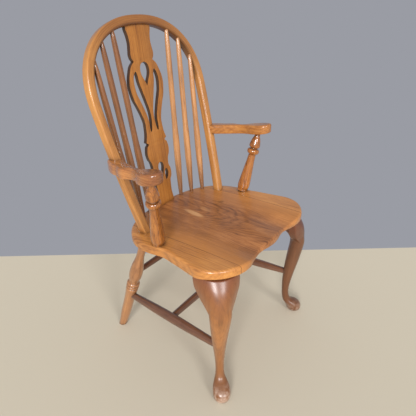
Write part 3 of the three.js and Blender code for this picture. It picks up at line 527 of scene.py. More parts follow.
splat_slot_shares = [
    (0.54, 0.775), (0.65, 0.762), (0.73, 0.725), (0.69, 0.665), (0.596, 0.632), (0.457, 0.588),
    (0.303, 0.528), (0.264, 0.5), (0.268, 0.466), (0.235, 0.438), (0.185, 0.442),
    (0.1, 0.488), (0.104, 0.55), (0.229, 0.616), (0.35, 0.67), (0.45, 0.718), (0.485, 0.757),
]
splat_drop_shares = [
    (0, 0.694), (0.1, 0.722), (0.225, 0.752), (0.262, 0.78), (0.19, 0.808), (0, 0.82),
]
splat_centre_leaf_shares = [
    (0, 0.142), (0.1, 0.178), (0.178, 0.216), (0.12, 0.24), (0, 0.248),
]
splat_side_leaf_shares = [
    (0.232, 0.128), (0.345, 0.142), (0.408, 0.165), (0.37, 0.188), (0.3, 0.196),
    (0.222, 0.185), (0.196, 0.16),
]


def splat_curve(shares, side, closed=False, steps=6):
    points = [(side * u * splat_half_width, v * splat_height) for u, v in shares]
    return spline(points, steps, closed)


def splat_side(side):
    return np.vstack([
        [(side * splat_foot_half, -splat_seat_tongue)],
        splat_curve(splat_edge_shares, side),
        splat_curve(splat_waist_shares, side),
        splat_curve(splat_neck_shares, side, steps=5),
        [(side * splat_head_half, splat_height + splat_bow_tongue)],
    ])


def finished_mesh(thing):
    """The mesh of an object with its modifiers worked in. The object itself is removed."""
    depsgraph = bpy.context.evaluated_depsgraph_get()
    mesh = bpy.data.meshes.new_from_object(thing.evaluated_get(depsgraph))
    bpy.data.objects.remove(thing)
    return mesh


loops = [np.vstack([splat_side(1), splat_side(-1)[::-1]])]
for side in (1, -1):
    loops.append(splat_curve(splat_slot_shares, side, True))
    loops.append(splat_curve(splat_side_leaf_shares, side, True))
for shares in (splat_drop_shares, splat_centre_leaf_shares):
    right = splat_curve(shares, -1)
    loops.append(np.vstack([splat_curve(shares, 1), right[1:-1][::-1]]))

board = bpy.data.curves.new("splat_board", "CURVE")
board.dimensions = "2D"
board.fill_mode = "BOTH"
board.extrude = splat_thickness / 2 - splat_arris
board.bevel_depth = splat_arris
board.offset = -splat_arris
board.bevel_resolution = 1
for loop in loops:
    line = board.splines.new("POLY")
    line.points.add(len(loop) - 1)
    line.points.foreach_set("co", np.column_stack([
        loop, np.zeros(len(loop)), np.ones(len(loop))]).ravel())
    line.use_cyclic_u = True
sawn = finished_mesh(put_in_scene("splat_blank", board))
work = bmesh.new()
work.from_mesh(sawn)
weld_distance = 0.02
bmesh.ops.remove_doubles(work, verts=work.verts, dist=weld_distance)
work.verts.ensure_lookup_table()
flat = np.array([v.co[:] for v in work.verts])
faces = [[v.index for v in f.verts] for f in work.faces]
work.free()
bpy.data.meshes.remove(sawn)
depth = flat[:, 2] - splat_thickness / 2
points = np.column_stack([
    flat[:, 0],
    splat_foot_y + flat[:, 1] * math.sin(splat_rake) - depth * math.cos(splat_rake),
    splat_foot_z + flat[:, 1] * math.cos(splat_rake) + depth * math.sin(splat_rake),
])
# Polished beech board gives the eye a flat golden face with faint upright streaks, and sawn
# edges so dark that they draw the pattern: end-grain stain with painted shade laid over it.
polished_beech_board = wood("polished_beech_board", "#be813e", "#a5692c", "#78451c", ring=7,
                            heart=(155, 60), tilt=(0.6, 0.4), roughness=0.34, streak=0.32)
tree = polished_beech_board.node_tree
# Painted shade: faces turned away from the board's front and back, the sawn edges, are painted
# nearly black.
normal = add_node(tree, "NewGeometry").outputs["Normal"]
facing = add_node(tree, "VectorMath", {
    "operation": "DOT_PRODUCT", 1: (0, -math.cos(splat_rake), math.sin(splat_rake)),
}, i0=normal)
squareness = add_node(tree, "Math", {"operation": "ABSOLUTE"}, i0=facing)
lay_over(polished_beech_board, "#2c1a10", add_node(tree, "MapRange", {
    "From Min": 0.35, "From Max": 0.8, "To Min": 0.9, "To Max": 0,
}, Value=squareness))
grain = np.column_stack([flat[:, 0], depth, flat[:, 1]])
fit(build_mesh("pierced_splat", points, faces, grain, crease=30), "splat",
    polished_beech_board, "back_splat")

# Back spindles
# Six turned rods of beech, swelled below the middle and tapered to a thin neck at the bow.
# The holes in the bow were bored a little towards the sitter's left, so the sides differ.

spindle_swell_radius = 11
spindle_swell_length = 260
spindle_taper_length = 100
spindle_seat_tenon = 13
spindle_bow_tenon = 7
spindles = [
    ("inner", (77.2, 194.8), (114.8, 259.4, 953.4), (99.8, 261.2, 959.6)),
    ("middle", (120.8, 182.2), (157.7, 251.2, 925.5), (145.5, 254.2, 935.6)),
    ("outer", (159.9, 162.8), (196.1, 235.6, 872.2), (187.3, 240.7, 889.9)),
]
spindle_swell_shares = [
    (0, 0.56), (0.12, 0.73), (0.23, 0.82), (0.34, 0.92), (0.44, 0.99), (0.58, 1), (0.7, 0.99),
    (0.8, 0.95), (0.89, 0.86), (1, 0.81),
]
spindle_taper_shares = [(1, 0.79), (0.65, 0.75), (0.35, 0.7), (0.12, 0.62), (0, 0.52)]
both_sides = ((1, "left"), (-1, "right"))
spindle_dark_end = (120, 30)
# How far from each other the turnings lie in their planks, in millimetres.
turnings_apart = np.array([37, -23, 90])
spindles_apart = (37, 23)


def turned(start, end, profile, sides, steps, seed=0):
    """Points, faces and grain of a piece turned between two points. Profile rows are
    distance along and radius."""
    start, end = np.asarray(start, float), np.asarray(end, float)
    along = (end - start) / np.linalg.norm(end - start)
    aside = np.cross(along, (0, 1, 0))
    aside /= np.linalg.norm(aside)
    other = np.cross(along, aside)
    rings, grain = [], []
    for d, r in spline(profile, steps):
        ring = []
        for k in range(sides):
            a = 2 * math.pi * k / sides
            u, v = r * math.cos(a), r * math.sin(a)
            ring.append(start + along * d + aside * u + other * v)
            grain.append((u, v, d))
        rings.append(ring)
    points, faces = loft(rings)
    return points, faces, grain + seed * turnings_apart


# Turned beech gives the eye straight-grained rods with a thin bright line of light down each,
# as thick polish on small turnings shows. Those on the left are honey coloured and those on
# the right browner. All darken where they enter the seat.
spindle_beeches = {}
for label, name, *tones, roughness, coat in [
    ("left", "honey_spindle_beech", "#d8a26c", "#b68050", "#795236", 0.26, 0.6),
    ("right", "brown_spindle_beech", "#a97244", "#875631", "#573720", 0.24, 0.9),
]:
    beech = wood(name, *tones, ring=5, heart=(34, 19), tilt=(0.4, 0.3), roughness=roughness,
                 streak=0.34, ring_share=0.18, coat=coat)
    lay_over(beech, "#5a331a", along_grain(beech, "Z", spindle_dark_end, (0, 0.65)))
    spindle_beeches[label] = beech
for order, (name, (x, y), *bow_holes) in enumerate(spindles):
    seat_hole = np.array([x, y, seat_height(x, y)])
    for (side, label), bow_hole in zip(both_sides, bow_holes):
        span = np.linalg.norm(bow_hole - seat_hole)
        tip = seat_hole - (bow_hole - seat_hole) / span * spindle_seat_tenon
        profile = [(0, spindle_swell_shares[0][1] * spindle_swell_radius)]
        profile += [(spindle_seat_tenon + s * spindle_swell_length, k * spindle_swell_radius)
                    for s, k in spindle_swell_shares]
        profile += [(spindle_seat_tenon + span - s * spindle_taper_length,
                     k * spindle_swell_radius) for s, k in spindle_taper_shares]
        profile.append((spindle_seat_tenon + span + spindle_bow_tenon, profile[-1][1]))
        points, faces, grain = turned(tip, bow_hole, profile, sides=32, steps=5)
        grain += (spindles_apart[0] * order, spindles_apart[1] * (order + 3 * side), 0)
        rod = build_mesh(f"{name}_rod_{label}", points * (side, 1, 1), faces, grain)
        fit(rod, "spindle", spindle_beeches[label], f"spindle_{name}_{label}")

# Arms
# Sawn from thick beech to a flowing plan: a round hand, a waist, an elbow and a lip behind
# the bow. The top edge is rounded over, and hands have polished it.

arm_hand_top = 670
arm_fall = 17.5
arm_rear_y = 160
arm_dip = 0.45
arm_thickness = 30
arm_round = 8
arm_under_round = 3
arm_under_facets = 4
arm_curve_steps = 12
arm_sides = 220
arm_reach = 284
arm_lip_start = 165
arm_lip_run = 22
arm_lip_thinning = 0.6
arm_outline_shares = [
    (0.907, -0.122), (0.951, -0.113), (0.986, -0.069), (1, 0), (0.99, 0.053), (0.968, 0.106),
    (0.933, 0.158), (0.912, 0.211), (0.915, 0.27), (0.93, 0.33), (0.92, 0.39), (0.893, 0.444),
    (0.882, 0.51), (0.858, 0.578), (0.828, 0.632), (0.802, 0.666), (0.775, 0.662),
    (0.74, 0.624), (0.708, 0.588), (0.72, 0.536), (0.742, 0.481), (0.768, 0.42), (0.797, 0.34),
    (0.828, 0.25), (0.841, 0.18), (0.838, 0.11), (0.82, 0.05), (0.813, -0.01),
    (0.826, -0.069), (0.862, -0.11),
]
arm_hand_start = 24.6
arm_hand_run = 39.3
right_hand_end = (80, 30)
# Polished beech gives the eye plain streaked wood, shining most on the rounded edge, where
# hands rub it and a painted highlight lightens it. The left arm is golden, and the right one
# reddish brown.
arm_beeches = {
    "left": wood("golden_polished_beech", "#c98f4c", "#a76b35", "#6e4524", ring=6,
                 heart=(-60, 85), tilt=(2, 1), roughness=0.27, streak=0.32,
                 ring_share=0.25, coat=0.5, wear_and_painted_light=0.2),
    "right": wood("reddish_polished_beech", "#c98a50", "#a4693a", "#683f24", ring=6,
                  heart=(-60, 85), tilt=(2, 1), roughness=0.25, streak=0.36,
                  ring_share=0.35, coat=0.7, pores=0.35, wear_and_painted_light=0.2),
}
# The right hand's end grain took more stain.
lay_over(arm_beeches["right"], "#6f3c22",
         along_grain(arm_beeches["right"], "Z", right_hand_end, (0, 0.6)))
for side, label, drawn_out, offset in ((1, "left", 12, 0), (-1, "right", 1, 60)):
    shaped = np.array(arm_outline_shares) * arm_reach
    shaped[:, 1] -= drawn_out * ease((arm_hand_start - shaped[:, 1]) / arm_hand_run)
    outline = evenly(spline(shaped, arm_curve_steps, closed=True), arm_sides)
    run = np.roll(outline, -1, axis=0) - np.roll(outline, 1, axis=0)
    run /= np.linalg.norm(run, axis=1)[:, None]
    outward = np.column_stack([run[:, 1], -run[:, 0]])
    lip_thin = 1 - arm_lip_thinning * ease((outline[:, 1] - arm_lip_start) / arm_lip_run)
    under = quarter_round(arm_under_round, arm_under_facets)
    edge = [(drop, arm_thickness - inset) for inset, drop in under]
    edge += quarter_round(arm_round, edge_facets)
    rings = []
    for inset, drop in edge:
        flat = outline - outward * (inset * lip_thin)[:, None]
        t = flat[:, 1] / arm_rear_y
        top = arm_hand_top - arm_fall * ((1 + arm_dip) * t - arm_dip * t * t)
        rings.append(np.column_stack([flat, top - drop]))
    points, faces = loft(rings)
    grain = points[:, [0, 2, 1]] - (arm_reach, arm_hand_top, 0) + offset
    rest = build_mesh(f"arm_rest_{label}", points * (side, 1, 1), faces, grain, crease=50)
    fit(rest, "arm", arm_beeches[label], f"arm_{label}")

# Arm posts
# Turned from beech on a lathe: a long vase, a ring with a crease on each side, and a short
# neck that goes into the hand of the arm.

post_foot = np.array([217.3, 26.6, 437])
post_head = np.array([257.9, -2.5, 639])
post_length = 205.9
post_bulb_radius = 20.8
post_seat_tenon = 20
post_arm_tenon = 15
post_tenon_radius = 8.5
post_shoulder = 0.5
post_profile_shares = [
    (0, 0.86), (0.03, 0.88), (0.085, 1), (0.165, 0.98), (0.25, 0.915), (0.425, 0.76),
    (0.52, 0.67), (0.61, 0.62), (0.655, 0.63), (0.67, 0.84), (0.69, 0.97), (0.722, 0.98),
    (0.745, 0.84), (0.755, 0.62), (0.767, 0.62), (0.778, 0.81), (0.8, 0.89), (0.87, 0.78),
    (0.93, 0.6), (0.96, 0.46),
]


def fit_pair(name, points, faces, grain, slot, finish, node, crease=40):
    """The same piece for the sitter's left and, mirrored, for the right."""
    for side, label, offset in ((1, "left", 0), (-1, "right", 60)):
        mesh = build_mesh(f"{name}_{label}", np.asarray(points) * (side, 1, 1), faces,
                          np.asarray(grain) + (offset, offset, 2 * offset), crease)
        fit(mesh, slot, finish, f"{node}_{label}")


along = (post_head - post_foot) / np.linalg.norm(post_head - post_foot)
profile = [(0, post_tenon_radius), (post_seat_tenon - post_shoulder, post_tenon_radius)]
profile += [(post_seat_tenon + s * post_length, k * post_bulb_radius)
            for s, k in post_profile_shares]
profile.append((post_seat_tenon + post_length + post_arm_tenon, post_tenon_radius))
points, faces, grain = turned(post_foot - along * post_seat_tenon, post_head, profile,
                              sides=56, steps=6, seed=3)
# Glossy turned beech gives the eye orange brown wood with fine dark grain lines that run to
# points on the vase, and small hard highlights on the ring, helped by a painted highlight on
# the sharp edges.
glossy_beech = wood("glossy_turned_beech", "#b87938", "#985c28", "#532d14", ring=5,
                    heart=(30, 12), tilt=(0.6, 0.3), roughness=0.25, streak=0.36,
                    ring_share=0.36, coat=0.9, pores=0.45, coat_roughness=0.11, wear_and_painted_light=0.5)
fit_pair("turned_post", points, faces, grain, "turned_post", glossy_beech, "arm_post",
         crease=60)

# Arm screws
# A countersunk steel wood screw holds each arm, driven from behind through the hoop. The
# slotted head lies just under the surface and has gone dull.

screw_x = 216
screw_z = 636
screw_length = 46
screw_shank_radius = 2.1
screw_tip_radius = 0.7
screw_head_radius = 4.2
screw_head_height = 3
screw_head_rim = 0.4
screw_sink = 1
screw_slot_width = 1
screw_slot_depth = 1.2

head = bow_place(screw_x, (screw_z - seat_top) / math.cos(bow_rake), bow_depth - screw_sink)
forward = np.array([0, -math.cos(bow_rake), math.sin(bow_rake)])
profile = [
    (0, screw_head_radius), (screw_head_rim, screw_head_radius),
    (screw_head_height, screw_shank_radius),
    (screw_length - 2 * screw_head_height, screw_shank_radius), (screw_length, screw_tip_radius),
]
points, faces, grain = turned(head, head + forward, profile, sides=32, steps=1)
# Dull steel gives the eye a grey brown metal, unevenly tarnished, with no bright highlight.
dull_steel = bpy.data.materials.new("dull_steel")
dull_steel.use_nodes = True
tree = dull_steel.node_tree
surface = tree.nodes["Principled BSDF"]
surface.inputs["Metallic"].default_value = 1
place = add_node(tree, "Attribute", {"attribute_name": "grain"}).outputs["Vector"]
tarnish_width = 1.5 * mm
tarnish = add_node(tree, "TexNoise", {"Scale": 1 / tarnish_width, "Detail": 3},
                   Vector=place).outputs["Fac"]
steel_colour = add_node(tree, "ValToRGB", Fac=tarnish)
steel_colour.color_ramp.elements[0].color = hex_colour("#5a4f45")
steel_colour.color_ramp.elements[1].color = hex_colour("#9a938a")
tree.links.new(steel_colour.outputs["Color"], surface.inputs["Base Color"])
steel_sheen = add_node(tree, "MapRange", {"To Min": 0.35, "To Max": 0.6}, Value=tarnish)
tree.links.new(steel_sheen.outputs["Result"], surface.inputs["Roughness"])
for side, label in both_sides:
    plain_screw = build_mesh("plain_screw", points * (side, 1, 1), faces, grain, crease=30)
    slot_block = bpy.data.meshes.new("slot_tool")
    work = bmesh.new()
    bmesh.ops.create_cube(work, size=mm)
    bmesh.ops.scale(work, verts=work.verts, vec=(3 * screw_head_radius, 2 * screw_slot_depth,
                                                 screw_slot_width))
    centre = (head * (side, 1, 1) - (0, footprint_middle_y, 0)) * mm
    bmesh.ops.transform(work, verts=work.verts,
                        matrix=Matrix.Translation(centre) @ Matrix.Rotation(-bow_rake, 4, "X"))
    work.to_mesh(slot_block)
    work.free()
    tool = put_in_scene("slot_tool", slot_block)
    screw = put_in_scene("slotted", plain_screw)
    slot = screw.modifiers.new("slot", "BOOLEAN")
    slot.object, slot.solver = tool, "EXACT"
    slotted = finished_mesh(screw)
    slotted.name = f"screw_{label}"
    bpy.data.objects.remove(tool)
    fit(slotted, "steel", dull_steel, f"arm_screw_{label}")

# Front legs and knee blocks
# Cabriole legs sawn and rasped from square stock: a pad foot, a slim ankle, and a knee that
# is carried to the corner of the seat by a block glued to each inner face.

leg_foot_x = 236.5
leg_foot_y = -204.8
leg_reach = 60
leg_half_width = 32
leg_lean = 4
leg_lean_start, leg_lean_run = 0.2, 0.4
leg_top_gap = 0.3
leg_top = seat_top - seat_thickness - leg_top_gap
leg_curve_steps = 4
leg_sides = 64
# A section's power: 2 is round, more is squarer, and less is nearer to a diamond, as the top is.
leg_section_power = 2.1
leg_top_power_fall = 0.7
leg_top_start, leg_top_run = 0.8, 0.2
block_thickness = 27
block_gap = 0.3
stock_inset = 46
knee_steps = 40
knee_round_power = 2.2
knee_uneven = 0.06
knee_uneven_start, knee_uneven_run = 0.77, 0.15
leg_voxel = 1.7
rasp_strokes = 14
leg_grain_offset = 100
leg_rows_shares = [
    (0, 0.37, -0.3, 0.62), (0.012, 0.44, -0.38, 0.76), (0.04, 0.455, -0.46, 0.81),
    (0.07, 0.37, -0.55, 0.8), (0.097, 0.1, -0.66, 0.67), (0.12, -0.18, -0.73, 0.52),
    (0.145, -0.32, -0.77, 0.43), (0.19, -0.41, -0.82, 0.39), (0.25, -0.43, -0.845, 0.41),
    (0.32, -0.365, -0.86, 0.47), (0.4, -0.255, -0.84, 0.56), (0.48, -0.12, -0.79, 0.655),
    (0.56, 0.005, -0.725, 0.74), (0.63, 0.095, -0.655, 0.82), (0.69, 0.16, -0.59, 0.89),
    (0.745, 0.19, -0.565, 0.95), (0.8, 0.12, -0.6, 0.96), (0.86, -0.03, -0.7, 0.9),
    (0.93, -0.23, -0.9, 0.8), (1, -0.4, -1.07, 0.72),
]
knee_rows_shares = [
    (0.735, 0.13, 0.47, 0.34), (0.77, 0.17, 0.58, 0.47), (0.8, 0.16, 0.69, 0.63),
    (0.83, 0.14, 0.8, 0.76), (0.86, 0.105, 0.89, 0.85), (0.885, 0.06, 0.955, 0.87),
    (0.91, 0, 1.005, 0.85), (0.94, -0.1, 1.035, 0.79), (0.97, -0.23, 1.05, 0.7),
    (1, -0.36, 1.04, 0.59),
]


def diagonal(along, across, z):
    """A point from distances along and across the leg's outward diagonal."""
    aside = across + leg_lean * ease((z / leg_top - leg_lean_start) / leg_lean_run)
    root = math.sqrt(0.5)
    return leg_foot_x + root * (along + aside), leg_foot_y - root * (along - aside), z


core_rings = []
for t, outer, inner, half in spline(leg_rows_shares, leg_curve_steps):
    centre, deep = (outer + inner) / 2 * leg_reach, (outer - inner) / 2 * leg_reach
    fall = leg_top_power_fall * ease((t - leg_top_start) / leg_top_run)
    power = 2 / (leg_section_power - fall)
    ring = []
    for k in range(leg_sides):
        a = 2 * math.pi * k / leg_sides
        c, s = math.cos(a), math.sin(a)
        ring.append(diagonal(centre + deep * math.copysign(abs(c) ** power, c),
                             half * leg_half_width * math.copysign(abs(s) ** power, s),
                             t * leg_top))
    core_rings.append(ring)
core_points, core_faces = loft(core_rings)

knee_rings = []
for t, outer, half, back in spline(knee_rows_shares, leg_curve_steps):
    uneven = knee_uneven * ease((t - knee_uneven_start) / knee_uneven_run)
    front, rear = [], []
    for k in range(knee_steps + 1):
        u = 2 * k / knee_steps - 1
        w = u * (1 + uneven * np.sign(u))
        along = (outer - back * abs(w) ** knee_round_power) * leg_reach
        across = w * half * leg_reach
        front.append(diagonal(along, across, t * leg_top))
        lean = math.pi / 4 * u
        rear.append(diagonal(along - math.cos(lean) * block_thickness,
                             across - math.sin(lean) * block_thickness, t * leg_top))
    knee_rings.append(front + rear[::-1])
knee_points, knee_faces = loft(knee_rings)

carved = build_mesh("carved_leg", np.vstack([core_points, knee_points]),
                    core_faces + [tuple(i + len(core_points) for i in f) for f in knee_faces],
                    np.vstack([core_points, knee_points]))
rough = put_in_scene("rough_leg", carved)
join = rough.modifiers.new("join", "REMESH")
join.mode, join.voxel_size = "VOXEL", leg_voxel * mm
rasp = rough.modifiers.new("rasp", "SMOOTH")
rasp.factor, rasp.iterations = 0.5, rasp_strokes
smooth_leg = finished_mesh(rough)

# Stained beech gives the eye a smooth brown leg with almost no figure and a soft glow on the
# knee. The two legs are lit and shaded copies of one stain: the sitter's left leg is painted
# dark, as painted shade under the seat, and the right one a warm orange, as painted light.
leg_beeches = {
    "left": wood("shaded_cabriole_beech", "#7c5033", "#694229", "#452918", ring=7,
                 heart=(130, 78), tilt=(1, 0.5), roughness=0.36, streak=0.2,
                 ring_share=0.12, coat=0.3, blotch=0.2, pores=0.15, coat_roughness=0.28),
    "right": wood("lit_cabriole_beech", "#ba7b40", "#9f6634", "#69411f", ring=7,
                  heart=(130, 78), tilt=(1, 0.5), roughness=0.42, streak=0.24,
                  ring_share=0.14, coat=0.7, pores=0.2, coat_roughness=0.27),
}
# The knees are painted darker, as painted shade under the seat, and the ankles and feet are
# darker as well. Shoes have scuffed the feet to a greyish brown. Each leg's grain heights start
# from its own offset.
shaded_knee, dark_ankle, low_foot = np.array([(280, 400), (220, 60), (45, 30)])
scuff_width = 14 * mm
for side, label, scuffing in ((1, "left", 0.4), (-1, "right", 0.85)):
    beech, base = leg_beeches[label], leg_grain_offset * side
    # The first colour is painted shade on the knees, and the second darkens the ankles and feet.
    for code, places, strength in [("#6b3520", shaded_knee, 0.7), ("#6a3f22", dark_ankle, 0.65)]:
        lay_over(beech, code, along_grain(beech, "Z", base + places, (0, strength)))
    tree = beech.node_tree
    scuffs = add_node(tree, "TexNoise", {"Scale": 1 / scuff_width, "Detail": 3},
                      Vector=tree.nodes["grain"].outputs["Vector"])
    wear_and_painted_light = add_node(tree, "MapRange", {
        "From Min": 0.35, "From Max": 0.7, "To Min": 0, "To Max": scuffing,
    }, Value=scuffs.outputs["Fac"])
    lay_over(beech, "#c4aa98", add_node(
        tree, "Math", {"operation": "MULTIPLY"},
        i0=wear_and_painted_light, i1=along_grain(beech, "Z", base + low_foot, (0, 1))))
stock_x, stock_y = leg_foot_x - stock_inset, leg_foot_y + stock_inset
for name, node, planes in [
    ("cabriole_leg", "front_leg", [((stock_x, 0), (-1, 0)), ((0, stock_y), (0, 1))]),
    ("side_knee_block", "knee_block_side", [((0, stock_y + block_gap), (0, -1))]),
    ("front_knee_block", "knee_block_front",
     [((stock_x - block_gap, 0), (1, 0)), ((0, stock_y), (0, 1))]),
]:
    for side, label in both_sides:
        work = bmesh.new()
        work.from_mesh(smooth_leg)
        for (x, y), (nx, ny) in planes:
            place = (x * mm, (y - footprint_middle_y) * mm, 0)
            rim = saw_off(work, place, (nx, ny, 0))
            bmesh.ops.holes_fill(work, edges=rim, sides=0)
        if side < 0:
            bmesh.ops.scale(work, verts=work.verts, vec=(-1, 1, 1))
        bmesh.ops.recalc_face_normals(work, faces=work.faces)
        mesh = bpy.data.meshes.new(f"{name}_{label}")
        work.to_mesh(mesh)
        grain = [(side * v.co.x, v.co.y, v.co.z + leg_grain_offset * mm * side)
                 for v in work.verts]
        work.free()
        along = mesh.attributes.new("grain", "FLOAT_VECTOR", "POINT")
        along.data.foreach_set("vector", np.array(grain).ravel())
        mesh.shade_smooth()
        mesh.set_sharp_from_angle(angle=math.radians(50))
        fit(mesh, "front_leg", leg_beeches[label], f"{node}_{label}")

# Rear legs
# Turned from beech and raked back and outwards: a plain foot, two rings, a bulb, and a thin
# neck with a bead under the seat. The feet are sawn level with the floor.

rear_foot = np.array([200, 257.1, 0])
rear_head = np.array([168.6, 127.5, 406.7])
rear_foot_sawn = 6
rear_bulb_radius = 21.8
rear_tenon_radius = 11
rear_tenon_length = 14
rear_profile_shares = [
    (0, 0.61), (0.012, 0.64), (0.06, 0.67), (0.136, 0.75), (0.208, 0.785), (0.283, 0.8),
    (0.35, 0.85), (0.41, 0.91), (0.444, 0.92), (0.451, 0.8), (0.457, 0.91), (0.466, 0.98),
    (0.475, 0.91), (0.48, 0.79), (0.485, 0.91), (0.495, 0.99), (0.505, 0.9), (0.511, 0.76),
    (0.527, 0.77), (0.56, 0.92), (0.61, 1), (0.68, 0.9), (0.75, 0.66), (0.8, 0.58),
    (0.87, 0.61), (0.915, 0.62), (0.93, 0.7), (0.95, 0.71), (0.965, 0.64), (0.99, 0.66),
]
rear_length = np.linalg.norm(rear_head - rear_foot)
profile = [(s * rear_length, k * rear_bulb_radius) for s, k in rear_profile_shares]
profile[0] = (-rear_foot_sawn, profile[0][1])
profile += [(rear_length, rear_tenon_radius),
            (rear_length + rear_tenon_length, rear_tenon_radius)]
points, faces, grain = turned(rear_foot, rear_head, profile, sides=56, steps=6, seed=5)
sawn_low = points[:, 2] < 0
points[sawn_low, 2] = 0
# Honey beech gives the eye a light, evenly golden leg, with light caught on the crisp beads,
# partly as a painted highlight on their edges.
honey_beech = wood("honey_turned_beech", "#ba8554", "#9a6942", "#6a462d", ring=6,
                   heart=(38, 10), tilt=(0.5, 0.3), roughness=0.3, streak=0.28,
                   ring_share=0.15, coat=0.7, pores=0.2, wear_and_painted_light=0.5)
fit_pair("turned_rear_leg", points, faces, grain, "rear_leg", honey_beech, "rear_leg",
         crease=60)

# Stretchers
# Turned rods of beech, darker stained, swelled to the middle. Two side rods join front and
# rear legs, one crosses between them, and a higher one joins the rear legs.

side_front = np.array([214.2, -182.5, 169.7])
side_rear = np.array([188.4, 209.4, 148])
side_radius, side_end_radius = 15, 10.2
middle_radius, middle_end_radius = 12.2, 9.5
middle_tenon = 10
rear_rod_z = 247
rear_rod_radius, rear_rod_end_radius = 11, 8.6
stretcher_swell_shares = [
    (0, 0), (0.1, 0.28), (0.25, 0.68), (0.4, 0.96), (0.5, 1), (0.6, 0.96), (0.75, 0.68),
    (0.9, 0.28), (1, 0),
]
# Dark beech gives the eye a dull reddish brown rod between the rear legs, among the darkest
# wood of the chair: painted shade, for the rod lies in shadow under the seat. The other rods
# are a warmer brown.
shaded_rod_beech = wood("shaded_turned_beech", "#80593e", "#67412e", "#3d281d", ring=5,
                  heart=(32, 18), tilt=(0.4, 0.3), roughness=0.34, streak=0.3,
                  ring_share=0.15)
warm_rod_beech = wood("warm_turned_beech", "#8a5d43", "#704a36", "#462f23", ring=5,
                    heart=(32, 18), tilt=(0.4, 0.3), roughness=0.3, streak=0.34,
                    coat=0.6)


def swelled(start, end, inset, end_radius, middle, seed):
    """A rod that swells from its ends to its middle."""
    length = np.linalg.norm(end - start)
    along = (end - start) / length
    rows = [(s * (length - 2 * inset), end_radius + (middle - end_radius) * k)
            for s, k in stretcher_swell_shares]
    return turned(start + along * inset, end, rows, sides=40, steps=8, seed=seed)


points, faces, grain = swelled(side_front, side_rear, 0, side_end_radius, side_radius, 7)
fit_pair("side_rod", points, faces, grain, "stretcher", warm_rod_beech, "side_stretcher")
middle_end = (side_front + side_rear) / 2
rear_rod_end = rear_foot + (rear_head - rear_foot) * rear_rod_z / rear_head[2]
for name, end, inset, thin, thick, beech, node, seed in [
    ("middle_rod", middle_end, side_radius - middle_tenon, middle_end_radius, middle_radius,
     warm_rod_beech, "middle_stretcher", 8),
    ("rear_rod", rear_rod_end, 0, rear_rod_end_radius, rear_rod_radius, shaded_rod_beech,
     "rear_stretcher", 9),
]:
    points, faces, grain = swelled(end * (-1, 1, 1), end, inset, thin, thick, seed)
    fit(build_mesh(name, points, faces, grain), "stretcher", beech, node)

# Room, light and camera
# A plain pale floor and a plain grey backdrop. Two soft lamps, far enough off to light the
# floor evenly, shine from behind the camera, and the room fills in from all sides.

room_half = 40 / mm
backdrop_heading = math.radians(-51.73)
backdrop_distance = 428.6
backdrop_grey = "#9a9ca4"


def stage_sheet(name, near, far, surface):
    """A flat sheet on the ground, between two distances beyond the frame's origin."""
    side = Vector((math.cos(backdrop_heading), math.sin(backdrop_heading), 0))
    behind = Vector((-side.y, side.x, 0))
    sheet = bpy.data.meshes.new(name)
    corners = [(-room_half, near), (room_half, near), (room_half, far), (-room_half, far)]
    sheet.from_pydata([(side * across + behind * back) * mm for across, back in corners],
                      [], [(0, 1, 2, 3)])
    sheet.materials.append(surface)
    put_in_scene(name, sheet)


def seen_plainly(tree):
    """1 for what the camera sees, directly, in gloss or through glass, and 0 for light."""
    ray = add_node(tree, "LightPath")
    direct = add_node(tree, "Math", {"operation": "ADD"},
                      i0=ray.outputs["Is Camera Ray"], i1=ray.outputs["Is Glossy Ray"])
    return add_node(tree, "Math", {"operation": "ADD", "use_clamp": True},
                    i0=direct, i1=ray.outputs["Is Transmission Ray"])


# The pale floor gives the eye a plain warm ground that keeps the chair's soft shadow.
pale_floor = bpy.data.materials.new("pale_floor")
pale_floor.use_nodes = True
shader = pale_floor.node_tree.nodes["Principled BSDF"]
shader.inputs["Base Color"].default_value = hex_colour("#cfc5b1")
shader.inputs["Roughness"].default_value = 0.8
stage_sheet("floor", -room_half, backdrop_distance, pale_floor)

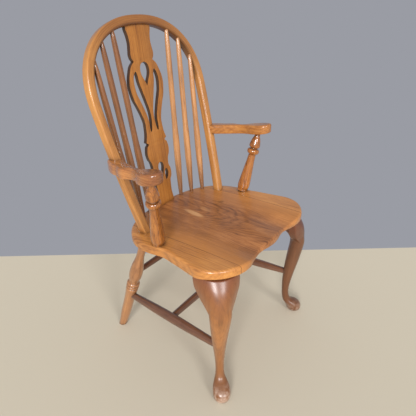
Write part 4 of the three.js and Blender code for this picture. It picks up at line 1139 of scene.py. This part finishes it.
# The grey backdrop gives the eye one even bluish grey behind the chair, with no light on it.
grey_backdrop = bpy.data.materials.new("grey_backdrop")
grey_backdrop.use_nodes = True
tree = grey_backdrop.node_tree
tree.nodes.clear()
matt = add_node(tree, "BsdfDiffuse", {"Color": hex_colour(backdrop_grey)})
plain = add_node(tree, "Emission", {"Color": hex_colour(backdrop_grey)})
either = add_node(tree, "MixShader", i0=seen_plainly(tree), i1=matt, i2=plain)
add_node(tree, "OutputMaterial", Surface=either)
stage_sheet("backdrop", backdrop_distance, room_half, grey_backdrop)

camera_place = (-866.72, -631.88, 1021.62)
camera_heading = math.radians(-53.164)
camera_pitch = math.radians(-27.494)
camera_roll = math.radians(-0.436)
focal_pixels = 388.88
frame_pixels = 416
sensor = 36
lens = bpy.data.cameras.new("camera")
lens.sensor_width = sensor
lens.lens = focal_pixels / frame_pixels * sensor
camera = put_in_scene("camera", lens)
camera.location = [(c - o) * mm for c, o in zip(camera_place, (0, footprint_middle_y, 0))]
camera.rotation_mode = "QUATERNION"
camera.rotation_quaternion = (
    Quaternion((0, 0, 1), camera_heading)
    @ Quaternion((1, 0, 0), math.pi / 2 + camera_pitch)
    @ Quaternion((0, 0, 1), camera_roll)
)
bpy.context.scene.camera = camera

# The lamps' places are in metres.
lamp_spread = math.radians(18)
for name, place, strength in [
    ("main_lamp", (-5.0, -2.28, 2.84), 2.4), ("second_lamp", (-2.3, -4.97, 2.9), 1.33),
]:
    lamp = bpy.data.lights.new(name, "SUN")
    lamp.angle, lamp.energy = lamp_spread, strength
    studio_lamp = put_in_scene(name, lamp)
    studio_lamp.location = place
    aim = Vector((0, 0, seat_top * mm)) - studio_lamp.location
    studio_lamp.rotation_euler = aim.to_track_quat("-Z", "Y").to_euler()

world = bpy.data.worlds.new("room")
bpy.context.scene.world = world
world.use_nodes = True
tree = world.node_tree
tree.nodes.clear()
room_light = add_node(tree, "Background", {"Color": (1, 1, 1, 1), "Strength": 0.52})
wall = add_node(tree, "Background", {"Color": hex_colour(backdrop_grey)})
seen = add_node(tree, "MixShader", i0=seen_plainly(tree), i1=room_light, i2=wall)
add_node(tree, "OutputWorld", Surface=seen)

bpy.context.scene.view_settings.view_transform = "Standard"
